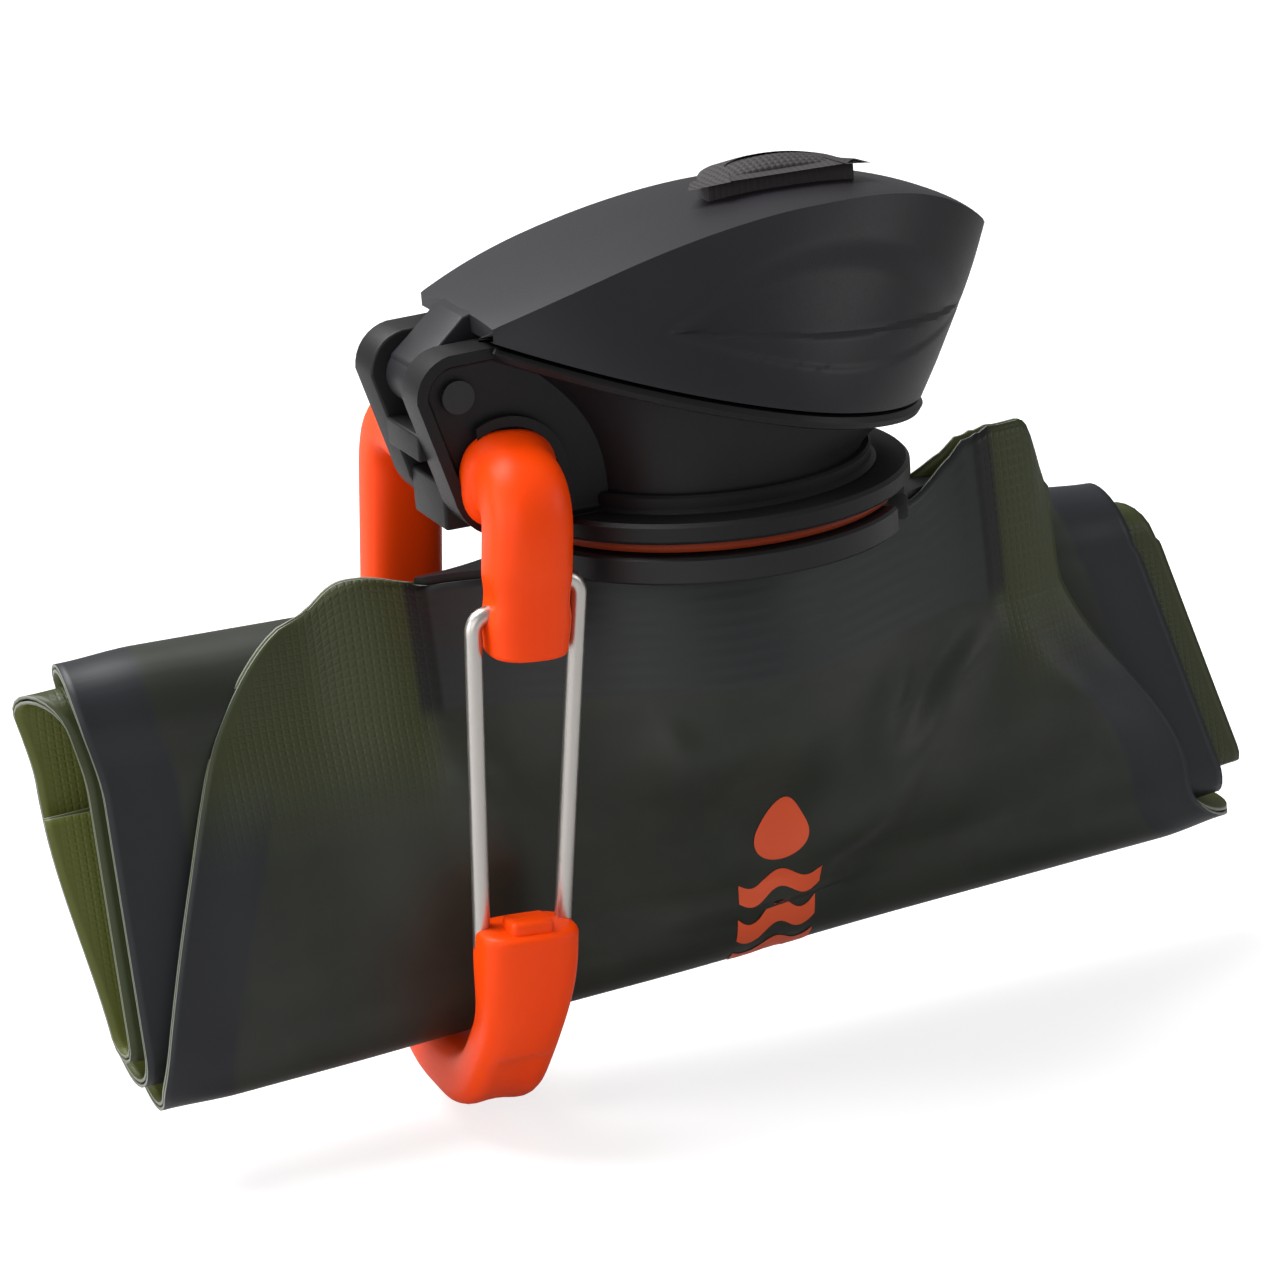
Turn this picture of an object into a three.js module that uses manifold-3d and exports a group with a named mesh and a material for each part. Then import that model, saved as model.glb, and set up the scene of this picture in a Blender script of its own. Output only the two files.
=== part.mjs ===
// Folding water bottle, rolled up: a film pouch welded to a spout fitment, a screw cap with a
// flip-top lid, and a carabiner that hangs in the cap's eye and holds the rolled pouch.
//
// Millimetres. +Z is the axis of the neck and cap, upwards. +X runs along the roll towards the
// lid's nose, -Y is the side with the carabiner's gate. The origin is on the neck's axis, in the
// plane of the cap flange's upper face.
import * as THREE from "three";
import { mergeVertices } from "three/addons/utils/BufferGeometryUtils.js";
import Module from "manifold-3d";

const wasm = await Module();
wasm.setup();

// ---- Driving dimensions ----

const CLEARANCE = 0.3; // between pieces that touch or seat on each other
const TURN_CLEARANCE = 0.4; // round pieces that turn in each other

// Pouch
const FILM = 0.4; // film thickness
const LAYER_OFFSET = 0.9; // each panel's distance from the middle of the pouch
const GUSSET_FILM = 0.25;
const LANE_GAP = 0.6; // between the layers of the roll
const EAR_LEFT = 47; // half width of the pouch at the weld, left and right
const EAR_RIGHT = 45;
const POUCH_LEFT = 68.5; // half widths of the flap at its bottom fold
const POUCH_RIGHT = 60.5;
const LANE_SLIP = 3.2; // how far each turn of the roll has slipped out to the left
const ROLL_SLIP = 3.5; // how far the roll stands out past the flap on the right
const FLAP_SPREAD = 5; // how far the flap's left edge moves out below its shoulder
const TAPER_LOW = 5; // the roll's right end is this much higher at the bottom than the left
const TAPER_HIGH = 2.4; // and this much lower at the top
const ROLL_LEAN = 6; // the roll's bottom stands this far in front of its top
const ROLL_BOTTOM = -60;
const ROLL_TOP = -12.5;
const ROLL_BACK = 16; // middle of the outer back layer
const FLAP_LEAN = 1.0; // the flap's middle stands this far behind the neck's axis
const EAR_RISE_LEFT = 1.8;
const EAR_RISE_RIGHT = 6.5;
const FLAP_SWELL = 3; // trapped air holds the front panel out

// Fitment
const BOAT_HALF_LENGTH = 34.5;
const BOAT_HALF_THICKNESS = 13.5;
const BOAT_TIP = 1.0;
const BOAT_HEIGHT = 14;
const NECK_RADIUS = 15;
const NECK_BORE = 11.4;
const NECK_TOP = 1.9;
const COLLAR_RADIUS = 22.4;
const COLLAR_THICKNESS = 3;
const COLLAR_NOTCH = 5; // width of the notch that a capping tool holds
const SEAL_THICKNESS = 1.0;
const SEAL_WIDTH = 4.6;
const SEAL_INSET = 1.1;

// Cap base
const FLANGE_RADIUS = 22.9;
const FLANGE_THICKNESS = 2.3;
const FOOT_RADIUS = 18.7;
const FOOT_HEIGHT = 1.9;
const WAIST_RADIUS = 17.6;
const WALL = 2;
const DECK_THICKNESS = 2;
const LIP_DEPTH = 1.7;
const LIP_OVERHANG = 2.2;
const THREAD_RIDGE = 0.8;

// Lid
const LID_REAR = -27.3; // X of the lid's rear edge
const LID_NOSE_LOW = 26.4; // X of the nose at the parting line and at its top
const LID_NOSE_HIGH = 36.2;
const PART_REAR = 20.4; // height of the parting line at the rear edge and at the nose
const PART_NOSE = 5.2;
const PART_SAG = 1.9; // how far the parting line hangs below a straight line
const CREST_REAR = 22.4; // height of the lid's top at the rear edge, at its crest and at the nose
const CREST_TOP = 30.2;
const CREST_NOSE = 22.5;
const CREST_X = 9;
const REAR_HALF = 11;
const BELLY_HALF = 19.8; // half width at the parting line
const BELLY_X = 3;
const TOP_HALF = 13.4; // half width of the top face
const TOP_X = -14;
const LID_WALL = 1.7;
const TAB_LENGTH = 21;
const TAB_X = 11;
const TAB_WALL = 1.3;
const TAB_CROWN = 2.2;
const TAB_DEPTH = 8;
const TAB_FRONT = -2.3;

// Hinge
const PIN_X = -31.2;
const PIN_Z = 15;
const PIN_RADIUS = 1.5;
const PIN_HEAD_RADIUS = 1.8;
const KNUCKLE_RADIUS = 3.2;
const TONGUE_HALF = 4.4;
const CHEEK_HALF = 10;
const CHEEK_ROUND = 4.7; // round of the cheeks about the pin

// Mouthpiece and plug
const SPOUT_X = 1;
const SPOUT_RADIUS = 6.2;
const SPOUT_BORE = 4.2;
const SPOUT_TOP = 15.5;
const SPOUT_FLANGE_RADIUS = 9;
const PLUG_RADIUS = 6.6;
const PLUG_TIP = 2.2;

// Carabiner: the loop hangs in the eye and lies in a plane that holds the Y axis
const EYE_X = -26.5;
const EYE_Z = 5.4;
const EYE_BOSS = 6.4;
const BAR_RADIUS = 3.1;
const LIMB_WIDTH = 9.4; // along X
const LIMB_DEPTH = 7.4; // in the loop's plane
const LOOP_FRONT = -14.8;
const LOOP_BACK = 24.8;
const LOOP_DROP = 71.4; // middle of the bottom limb below the eye
const LOOP_LEAN = 5; // degrees, the bottom swung towards -X
const BOTTOM_CORNER = 16;
const GATE_SOCKET = 11.5; // gate axis below the eye
const SOCKET_END = 17.8;
const HOOK_TOP = 48.6;
const WIRE_RADIUS = 0.95;
const GATE_HALF_WIDTH = 6;
const GATE_FOOT_HALF = 4.6;
const SOCKET_PLAY = 0.75; // the legs shift in their sockets as the gate swings
const GATE_BEND = 1.3;
const GATE_END = 52.4;
const GATE_STAGGER = 1.6; // each leg's end above or below the gate's axis
const GATE_STUB = 2.4;
const GATE_SET_IN = 1.2; // the gate's foot lies this far behind the hook's middle

// ---- Derived places ----

const SEAL_TOP = -FLANGE_THICKNESS - CLEARANCE;
const SEAL_BOTTOM = SEAL_TOP - SEAL_THICKNESS;
const COLLAR_TOP = SEAL_BOTTOM - CLEARANCE;
const COLLAR_BOTTOM = COLLAR_TOP - COLLAR_THICKNESS;
const WELD_TOP = COLLAR_BOTTOM - CLEARANCE * 3;
const BOAT_BOTTOM = WELD_TOP - BOAT_HEIGHT;
const DECK_BOTTOM = NECK_TOP + CLEARANCE;
const DECK_TOP = DECK_BOTTOM + DECK_THICKNESS;
const LAYER_PITCH = 2 * LAYER_OFFSET + FILM + LANE_GAP;
const FOLD_LOW = ROLL_BOTTOM + (ROLL_BACK - FLAP_LEAN) / 2;
const FOLD_HIGH = ROLL_TOP - (ROLL_BACK - FLAP_LEAN - LAYER_PITCH) / 2;
const CLOSED = THREE.MathUtils.lerp(BOAT_BOTTOM, ROLL_BOTTOM, 0.7); // where the panels lie together again
const FOLD_STEPS = 6;
const BOAT_STEPS = 8;
const SIDE_STEPS = 3;

// ---- Small helpers ----

const smooth = (t) => THREE.MathUtils.smoothstep(t, 0, 1);
const mix = THREE.MathUtils.lerp;

function solid(geometry) {
  const source = geometry.clone();
  source.deleteAttribute("normal");
  source.deleteAttribute("uv");
  const merged = mergeVertices(source, 1e-4);
  return new wasm.Manifold(
    new wasm.Mesh({
      numProp: 3,
      vertProperties: new Float32Array(merged.attributes.position.array),
      triVerts: new Uint32Array(merged.index.array),
    }),
  );
}

function geometryOf(body) {
  const mesh = body.getMesh();
  const geometry = new THREE.BufferGeometry();
  geometry.setAttribute("position", new THREE.BufferAttribute(mesh.vertProperties, 3));
  geometry.setIndex(new THREE.BufferAttribute(mesh.triVerts, 1));
  geometry.computeVertexNormals();
  return geometry;
}

const join = (...bodies) => bodies.reduce((sum, body) => sum.add(body));
const cut = (body, ...tools) => tools.reduce((rest, tool) => rest.subtract(tool), body);

function block(x0, x1, y0, y1, z0, z1) {
  const box = new THREE.BoxGeometry(x1 - x0, y1 - y0, z1 - z0);
  return solid(box.translate((x0 + x1) / 2, (y0 + y1) / 2, (z0 + z1) / 2));
}

// A round bar along Z between two heights.
function rodZ(radius, z0, z1, segments = 48, x = 0, y = 0) {
  const rod = new THREE.CylinderGeometry(radius, radius, z1 - z0, segments);
  return solid(rod.rotateX(Math.PI / 2).translate(x, y, (z0 + z1) / 2));
}

// A round bar along Y, with its own radius at each end.
function rodY(radius0, radius1, y0, y1, x, z, segments = 24) {
  const rod = new THREE.CylinderGeometry(radius1, radius0, y1 - y0, segments);
  return solid(rod.translate(x, (y0 + y1) / 2, z));
}

// A closed profile of [radius, height] points, turned about the Z axis.
function turned(profile, segments) {
  const points = profile.map(([radius, height]) => new THREE.Vector2(radius, height));
  return new THREE.LatheGeometry(points, segments).rotateX(Math.PI / 2);
}

// An outline in the XZ plane, given thickness from y0 to y1.
function plateY(outline, y0, y1) {
  const plate = new THREE.ExtrudeGeometry(outline, {
    depth: y1 - y0, bevelEnabled: false, curveSegments: 10,
  });
  return solid(plate.rotateX(Math.PI / 2).translate(0, y1, 0));
}

// A box whose points are moved by place(u, v, w), each from 0 to 1.
function bentBox(nu, nv, nw, place) {
  const box = new THREE.BoxGeometry(1, 1, 1, nu, nv, nw);
  const points = box.attributes.position;
  for (let i = 0; i < points.count; i += 1) {
    const spot = place(points.getX(i) + 0.5, points.getY(i) + 0.5, points.getZ(i) + 0.5);
    points.setXYZ(i, ...spot);
  }
  return box;
}

const SHELL = { roughness: 0.62, metalness: 0 };
const finishes = {
  film: { color: 0x343a2c, roughness: 0.4, metalness: 0 },
  film_back: { color: 0x4a5226, roughness: 0.4, metalness: 0 },
  fitment: { color: 0x202024, ...SHELL },
  shell: { color: 0x2b2a2e, ...SHELL },
  tab: { color: 0x2a2729, roughness: 0.8, metalness: 0 },
  liner: { color: 0x1c1c1f, ...SHELL },
  silicone: { color: 0x3a3a3c, roughness: 0.7, metalness: 0 },
  seal: { color: 0xb43a17, roughness: 0.6, metalness: 0 },
  orange: { color: 0xff5a1a, roughness: 0.35, metalness: 0 },
  steel: { color: 0xb9b4ab, roughness: 0.3, metalness: 1 },
};

const bottle = new THREE.Group();

function place(name, geometry, finish, parent = bottle) {
  const material = new THREE.MeshStandardMaterial(finishes[finish]);
  const mesh = new THREE.Mesh(geometry, material);
  mesh.name = name;
  parent.add(mesh);
}

// ---- Pouch ----

// Half thickness of the fitment's boat, a lens with drawn-out tips.
function boatHalf(x) {
  if (Math.abs(x) >= BOAT_HALF_LENGTH) return BOAT_TIP;
  const wave = Math.cos((Math.PI * x) / (2 * BOAT_HALF_LENGTH)) ** 2;
  return mix(BOAT_TIP, BOAT_HALF_THICKNESS, wave);
}

// How far the boat holds the panels apart; they close again below it in a straight slope. The roll
// lies behind the boat, so its upper part is pushed back by as much.
function spread(x, z) {
  const fade = THREE.MathUtils.clamp((z - CLOSED) / (BOAT_BOTTOM - CLOSED), 0, 1);
  return (boatHalf(x) - BOAT_TIP) * fade;
}

// The middle of the pouch in the YZ plane: down the flap, then round and round the roll.
// Each sample has its place, the direction across the film, and the lane's number.
function rollSamples() {
  const samples = [];
  const backOf = (lane) => ROLL_BACK - lane * LAYER_PITCH;
  const frontOf = (lane) => FLAP_LEAN + lane * LAYER_PITCH;
  const line = (y, z0, z1, steps, lane) => {
    const across = lane % 1 === 0 ? -1 : 1;
    for (let i = 0; i < steps; i += 1) {
      samples.push({ y, z: mix(z0, z1, i / steps), ny: across, nz: 0, lane });
    }
  };
  const heights = (lane, ...stops) => {
    for (let i = 1; i < stops.length; i += 1) {
      const y = lane % 1 === 0 ? frontOf(lane) : backOf(lane - 0.5);
      line(y, stops[i - 1], stops[i], Math.max(1, Math.round(Math.abs(stops[i] - stops[i - 1]) / 7)), lane);
    }
  };
  const fold = (y0, y1, z, side, lane) => {
    const radius = Math.abs(y1 - y0) / 2;
    for (let i = 0; i < FOLD_STEPS; i += 1) {
      const angle = (Math.PI * i) / FOLD_STEPS;
      const ny = -Math.cos(angle) * side;
      const nz = -Math.sin(angle) * side;
      samples.push({ y: (y0 + y1) / 2 + radius * ny, z: z + radius * nz, ny, nz, lane: lane + i / FOLD_STEPS / 2 });
    }
  };
  heights(0, WELD_TOP, BOAT_BOTTOM, CLOSED, FOLD_LOW);
  for (let lane = 0; lane < 2; lane += 1) {
    fold(frontOf(lane), backOf(lane), FOLD_LOW, 1, lane);
    heights(lane + 0.5, FOLD_LOW, CLOSED, BOAT_BOTTOM, FOLD_HIGH);
    fold(backOf(lane), frontOf(lane + 1), FOLD_HIGH, -1, lane + 0.5);
    heights(lane + 1, FOLD_HIGH, BOAT_BOTTOM, CLOSED, FOLD_LOW);
  }
  samples.push({ y: frontOf(2), z: FOLD_LOW, ny: -1, nz: 0, lane: 2 });
  return samples;
}

const roll = rollSamples();

// The left and right edges of the pouch: rounded shoulders down to the full width, and then the
// slip of each layer.
function edges(sample) {
  if (sample.lane > 0) {
    return [-POUCH_LEFT - sample.lane * LANE_SLIP, POUCH_RIGHT + ROLL_SLIP * Math.min(1, 2 * sample.lane)];
  }
  const down = WELD_TOP - sample.z;
  const shoulder = mix(EAR_LEFT, POUCH_LEFT - FLAP_SPREAD, smooth(down / 34) ** 0.6);
  const left = shoulder + FLAP_SPREAD * Math.min(1, down / (WELD_TOP - ROLL_BOTTOM)) ** 2;
  const right = mix(EAR_RIGHT, POUCH_RIGHT, smooth((down - 6) / 44));
  return [-left, right];
}

// The roll leans, its bottom forwards; the weld at the top stays upright.
function lean(z) {
  return -ROLL_LEAN * THREE.MathUtils.clamp((BOAT_BOTTOM - z) / (BOAT_BOTTOM - ROLL_BOTTOM), 0, 1.1);
}

// The ears stand up past the boat's tips.
function earRise(x, down) {
  const rise = x < 0 ? EAR_RISE_LEFT : EAR_RISE_RIGHT;
  const along = smooth((Math.abs(x) - BOAT_HALF_LENGTH + 3) / 8);
  const corner = smooth((Math.abs(x) - EAR_RIGHT + 5) / 9);
  return rise * along * (1 - 0.6 * corner) * Math.max(0, 1 - down / BOAT_HEIGHT);
}

// X across the film: the boat's own stations in the middle, and a few more out to each edge.
function across(u, left, right) {
  const steps = BOAT_STEPS + 2 * SIDE_STEPS;
  const i = Math.round(u * steps);
  if (i < SIDE_STEPS) return mix(left, -BOAT_HALF_LENGTH, i / SIDE_STEPS);
  if (i > SIDE_STEPS + BOAT_STEPS) {
    return mix(BOAT_HALF_LENGTH, right, (i - SIDE_STEPS - BOAT_STEPS) / SIDE_STEPS);
  }
  return mix(-BOAT_HALF_LENGTH, BOAT_HALF_LENGTH, (i - SIDE_STEPS) / BOAT_STEPS);
}

// The roll narrows towards its right end; its folds move up and down whole.
function taper(x, sample) {
  const along = (x + POUCH_LEFT) / (POUCH_LEFT + POUCH_RIGHT);
  const low = Math.min(1, (BOAT_BOTTOM - sample.z) / (BOAT_BOTTOM - FOLD_LOW));
  const high = Math.min(1, (sample.z - BOAT_BOTTOM) / (FOLD_HIGH - BOAT_BOTTOM));
  if (low > 0) return TAPER_LOW * along * low;
  return sample.lane > 0 ? -TAPER_HIGH * along * high : 0;
}

// One film of the pouch; side is -1 for the front panel and 1 for the back one.
function panel(side, thickness, first = 0, last = roll.length - 1) {
  return bentBox(BOAT_STEPS + 2 * SIDE_STEPS, last - first, 1, (u, v, w) => {
    const sample = roll[first + Math.round((1 - v) * (last - first))];
    const [left, right] = edges(sample);
    const x = across(u, left, right);
    const off = side * LAYER_OFFSET * -1 + (w - 0.5) * thickness;
    const z = sample.z + off * sample.nz;
    const onFlap = sample.lane === 0;
    const front = onFlap && side < 0;
    const swell = FLAP_SWELL * Math.sin(Math.PI * THREE.MathUtils.clamp((WELD_TOP - sample.z) / 44, 0, 1));
    const inner = smooth((POUCH_RIGHT - Math.abs(x)) / 24);
    const push = front ? -spread(x, z) - swell * inner : spread(x, z);
    const rise = onFlap ? earRise(x, WELD_TOP - sample.z) : 0;
    return [x, sample.y + off * sample.ny + push + lean(z), z + rise + taper(x, sample)];
  });
}

place("pouch_front_panel", panel(-1, FILM), "film");
place("pouch_back_panel", panel(1, FILM), "film_back");
place("pouch_bottom_gusset", panel(0, GUSSET_FILM, roll.length - 3), "film");

// ---- Fitment: boat, neck with its thread, and collar ----

function boat() {
  const tip = FILM / 2 + CLEARANCE - LAYER_OFFSET;
  return solid(bentBox(BOAT_STEPS, 2, 1, (u, v, w) => {
    const x = mix(-BOAT_HALF_LENGTH, BOAT_HALF_LENGTH, u);
    const half = boatHalf(x) - BOAT_TIP - tip;
    return [x, FLAP_LEAN + mix(-half, half, v), mix(BOAT_BOTTOM, COLLAR_BOTTOM + CLEARANCE, w)];
  }));
}

function fitment() {
  const bodyParts = [
    boat(),
    rodZ(COLLAR_RADIUS, COLLAR_BOTTOM, COLLAR_TOP, 48),
    rodZ(NECK_RADIUS, COLLAR_BOTTOM, NECK_TOP - THREAD_RIDGE),
    rodZ(NECK_RADIUS - THREAD_RIDGE, COLLAR_BOTTOM, NECK_TOP),
  ];
  const bore = rodZ(NECK_BORE, BOAT_BOTTOM - 1, NECK_TOP + 1);
  const notch = block(-COLLAR_NOTCH / 2, COLLAR_NOTCH / 2, -COLLAR_RADIUS - 1, -COLLAR_RADIUS + WALL,
    COLLAR_BOTTOM - 1, COLLAR_TOP + 1);
  const turned = [notch.rotate([0, 0, -38]), notch.rotate([0, 0, 142])];
  return cut(join(...bodyParts), bore, ...turned);
}

place("spout_fitment", geometryOf(fitment()), "fitment");

// ---- Seal ring ----

function sealRing() {
  const outer = FLANGE_RADIUS - SEAL_INSET;
  const ring = rodZ(outer, SEAL_BOTTOM, SEAL_TOP, 48);
  return cut(ring, rodZ(outer - SEAL_WIDTH, SEAL_BOTTOM - 1, SEAL_TOP + 1, 48));
}

// ---- Lid and rim outlines ----

// Height of the parting line and of the lid's top along X.
function partHeight(x) {
  const t = (x - LID_REAR) / (LID_NOSE_LOW - LID_REAR);
  return mix(PART_REAR, PART_NOSE, t) - PART_SAG * 4 * t * (1 - t);
}

function crestHeight(x) {
  if (x < CREST_X) {
    const t = (CREST_X - x) / (CREST_X - LID_REAR);
    return mix(CREST_TOP, CREST_REAR, t ** 1.75);
  }
  const t = (x - CREST_X) / (LID_NOSE_HIGH - CREST_X);
  return mix(CREST_TOP, CREST_NOSE, t ** 3);
}

// Half width of a leaf outline at X: from the rear edge out to the belly, and round to the nose.
function leafHalf(x, rear, belly, bellyX, nose, sharp) {
  if (x <= bellyX) return mix(belly, rear, ((bellyX - x) / (bellyX - LID_REAR)) ** 2);
  const t = Math.min(1, (x - bellyX) / (nose - bellyX));
  return belly * (1 - t ** sharp) ** 0.62;
}

// A body under the lid's outline, drawn in by inset, from the parting line to the top face.
function leafBody(inset, drop, lift, base = 0) {
  return solid(bentBox(18, 6, 3, (u, v, w) => {
    const nose = mix(LID_NOSE_LOW, LID_NOSE_HIGH, w) - inset;
    const along = 1 - (1 - u) ** 1.5;
    const x = mix(LID_REAR + inset, nose, along);
    const low = leafHalf(x, REAR_HALF, BELLY_HALF, BELLY_X, nose + 0.4, 1.9);
    const high = leafHalf(x, REAR_HALF, TOP_HALF, TOP_X, nose + 0.4, 2.4);
    const half = Math.max(0.25, mix(low, high, w ** 1.5) - inset);
    const bottom = partHeight(Math.min(x, LID_NOSE_LOW)) + base;
    const z = mix(bottom - drop, crestHeight(x) + lift, w);
    return [x, mix(-half, half, v), z];
  }));
}

function lidShell() {
  const outer = leafBody(0, 0, 0);
  const hollow = leafBody(LID_WALL, 4, -LID_WALL);
  const knuckle = rodY(KNUCKLE_RADIUS, KNUCKLE_RADIUS, -TONGUE_HALF, TONGUE_HALF, PIN_X, PIN_Z);
  const tongue = new THREE.Shape();
  tongue.moveTo(LID_REAR + LID_WALL, CREST_REAR - LID_WALL * 1.6);
  tongue.lineTo(LID_REAR + LID_WALL, CREST_REAR);
  tongue.lineTo(PIN_X + 1, PIN_Z + KNUCKLE_RADIUS);
  tongue.lineTo(PIN_X - KNUCKLE_RADIUS * 0.7, PIN_Z + KNUCKLE_RADIUS * 0.7);
  tongue.lineTo(PIN_X, PIN_Z);
  tongue.lineTo(PIN_X + KNUCKLE_RADIUS * 0.7, PIN_Z);
  const arm = plateY(tongue, -TONGUE_HALF, TONGUE_HALF);
  const bore = rodY(PIN_RADIUS + TURN_CLEARANCE, PIN_RADIUS + TURN_CLEARANCE, -CHEEK_HALF, CHEEK_HALF,
    PIN_X, PIN_Z);
  return cut(join(cut(outer, hollow), knuckle, arm), bore);
}

place("lid_shell", geometryOf(lidShell()), "shell");

// ---- Cap base: flange, waist, rim, deck and the hinge bracket with the carabiner's eye ----

// The bowl between the round waist and the leaf-shaped rim.
function bowl(inset, floor, top, lip) {
  return solid(bentBox(18, 6, 3, (u, v, w) => {
    const along = 1 - (1 - u) ** 1.5;
    const nose = LID_NOSE_LOW - inset - lip;
    const xRim = mix(LID_REAR + inset, nose, along);
    const half = leafHalf(xRim, REAR_HALF, BELLY_HALF, BELLY_X, nose + 0.4, 1.9);
    const rimHalf = Math.max(0.25, half - inset - lip);
    const angle = Math.PI * (1 - u);
    const waist = WAIST_RADIUS - inset;
    const rim = [xRim, mix(-rimHalf, rimHalf, v)];
    const foot = [waist * Math.cos(angle), mix(-1, 1, v) * Math.max(0.25, waist * Math.sin(angle))];
    const flare = w ** 1.8;
    const z = mix(floor, partHeight(xRim) - CLEARANCE + top, w);
    return [mix(foot[0], rim[0], flare), mix(foot[1], rim[1], flare), z];
  }));
}

function rimLip() {
  return solid(bentBox(18, 6, 1, (u, v, w) => {
    const x = mix(LID_REAR, LID_NOSE_LOW, 1 - (1 - u) ** 1.5);
    const half = Math.max(0.25, leafHalf(x, REAR_HALF, BELLY_HALF, BELLY_X, LID_NOSE_LOW + 0.4, 1.9));
    const top = partHeight(x) - CLEARANCE;
    return [x, mix(-half, half, v), mix(top - LIP_DEPTH, top, w)];
  }));
}

function bracket() {
  const side = new THREE.Shape();
  side.moveTo(-14, partHeight(-14) - CLEARANCE - LIP_DEPTH);
  side.lineTo(LID_REAR + 0.6, PIN_Z + CHEEK_ROUND);
  side.absarc(PIN_X, PIN_Z, CHEEK_ROUND, Math.PI * 0.55, Math.PI, false);
  side.lineTo(EYE_X - EYE_BOSS, EYE_Z - 1);
  side.absarc(EYE_X, EYE_Z, EYE_BOSS, Math.PI * 1.1, Math.PI * 1.5, false);
  side.lineTo(-14, EYE_Z - EYE_BOSS);
  return plateY(side, -CHEEK_HALF, CHEEK_HALF);
}

function capBase() {
  const outside = join(
    rodZ(FLANGE_RADIUS, -FLANGE_THICKNESS, 0, 48),
    rodZ(FOOT_RADIUS, -FLANGE_THICKNESS, FOOT_HEIGHT, 48),
    bowl(0, FOOT_HEIGHT - 0.5, 0, LIP_OVERHANG),
    rimLip(),
    bracket(),
  );
  const inside = bowl(WALL, DECK_TOP, 0.01, LIP_OVERHANG)
    .intersect(block(LID_REAR + 4, 40, -40, 40, DECK_TOP, 40));
  const neckRoom = rodZ(NECK_RADIUS + 2 * CLEARANCE, -FLANGE_THICKNESS - 1, DECK_BOTTOM);
  const slot = block(PIN_X - CHEEK_ROUND - 1, LID_REAR + 3, -TONGUE_HALF - CLEARANCE, TONGUE_HALF + CLEARANCE,
    PIN_Z - KNUCKLE_RADIUS - 1, 30);
  const windowGap = block(PIN_X - CHEEK_ROUND - 1, PIN_X + 1, -TONGUE_HALF + 1, TONGUE_HALF - 1, EYE_Z + BAR_RADIUS + 2,
    PIN_Z);
  const eyeRadius = BAR_RADIUS + TURN_CLEARANCE;
  const eye = rodY(eyeRadius, eyeRadius, -CHEEK_HALF - 1, CHEEK_HALF + 1, EYE_X, EYE_Z, 32);
  const pinBore = rodY(PIN_RADIUS + CLEARANCE, PIN_RADIUS + CLEARANCE, -CHEEK_HALF + 2, CHEEK_HALF - 2,
    PIN_X, PIN_Z);
  const headBore = rodY(PIN_HEAD_RADIUS + CLEARANCE, PIN_HEAD_RADIUS + CLEARANCE, -CHEEK_HALF - 1,
    -CHEEK_HALF + 2.5, PIN_X, PIN_Z);
  const spoutHole = rodZ(SPOUT_BORE + 1.4, DECK_BOTTOM - 1, DECK_TOP + 1, 32, SPOUT_X);
  return cut(outside, inside, neckRoom, slot, windowGap, eye, pinBore, headBore, spoutHole);
}

place("neck_seal_ring", geometryOf(sealRing()), "seal");
place("cap_base", geometryOf(capBase()), "shell");

// ---- Hinge pin ----

function hingePin() {
  const shank = rodY(PIN_RADIUS, PIN_RADIUS, -CHEEK_HALF + 1, CHEEK_HALF - 2 - CLEARANCE, PIN_X, PIN_Z);
  const head = rodY(PIN_HEAD_RADIUS, PIN_HEAD_RADIUS, -CHEEK_HALF + CLEARANCE, -CHEEK_HALF + 2.2, PIN_X,
    PIN_Z);
  return join(shank, head);
}

place("hinge_pin", geometryOf(hingePin()), "liner");

// ---- Mouthpiece and the plug that closes it ----

function mouthpiece() {
  const seat = DECK_TOP + CLEARANCE;
  const profile = [[SPOUT_BORE, seat], [SPOUT_FLANGE_RADIUS, seat], [SPOUT_FLANGE_RADIUS, seat + 1.4],
    [SPOUT_RADIUS, seat + 2.6], [SPOUT_RADIUS - 0.6, SPOUT_TOP - 1], [SPOUT_RADIUS - 1.1, SPOUT_TOP],
    [SPOUT_BORE + 0.2, SPOUT_TOP], [SPOUT_BORE, seat]];
  return turned(profile, 32).translate(SPOUT_X, 0, 0);
}

function plug() {
  const seat = SPOUT_TOP + CLEARANCE;
  const roof = crestHeight(SPOUT_X) - LID_WALL - CLEARANCE;
  const skirt = rodZ(PLUG_RADIUS, seat, seat + 2, 32, SPOUT_X);
  const stem = rodZ(PLUG_RADIUS - 3, seat, roof - 0.8, 24, SPOUT_X);
  const tip = rodZ(PLUG_TIP, seat - 1, seat + 1, 24, SPOUT_X);
  return join(skirt, stem, tip);
}

place("mouthpiece", mouthpiece(), "silicone");
place("lid_plug", geometryOf(plug()), "silicone");

// ---- Thumb tab on the lid ----

function thumbTab() {
  const half = TAB_LENGTH / 2;
  return bentBox(12, 6, 2, (u, v, w) => {
    const x = TAB_X + mix(-half, half, u);
    const arch = Math.sqrt(Math.max(0, 1 - (2 * u - 1) ** 2));
    const y = mix(TAB_FRONT, TAB_FRONT + TAB_DEPTH * Math.max(0.04, arch), v);
    const seat = crestHeight(x) + CLEARANCE;
    const crown = TAB_CROWN * Math.sin(Math.PI * u) * Math.sin(Math.PI * Math.min(1, v + 0.15));
    return [x, y, seat + w * (TAB_WALL + Math.max(0, crown))];
  });
}

place("thumb_tab", thumbTab(), "tab");

// ---- Carabiner: drawn with its eye at the origin and its limbs hanging down -Z ----

const carabiner = new THREE.Group();
carabiner.position.set(EYE_X, 0, EYE_Z);
carabiner.rotation.y = THREE.MathUtils.degToRad(LOOP_LEAN);
bottle.add(carabiner);

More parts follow.
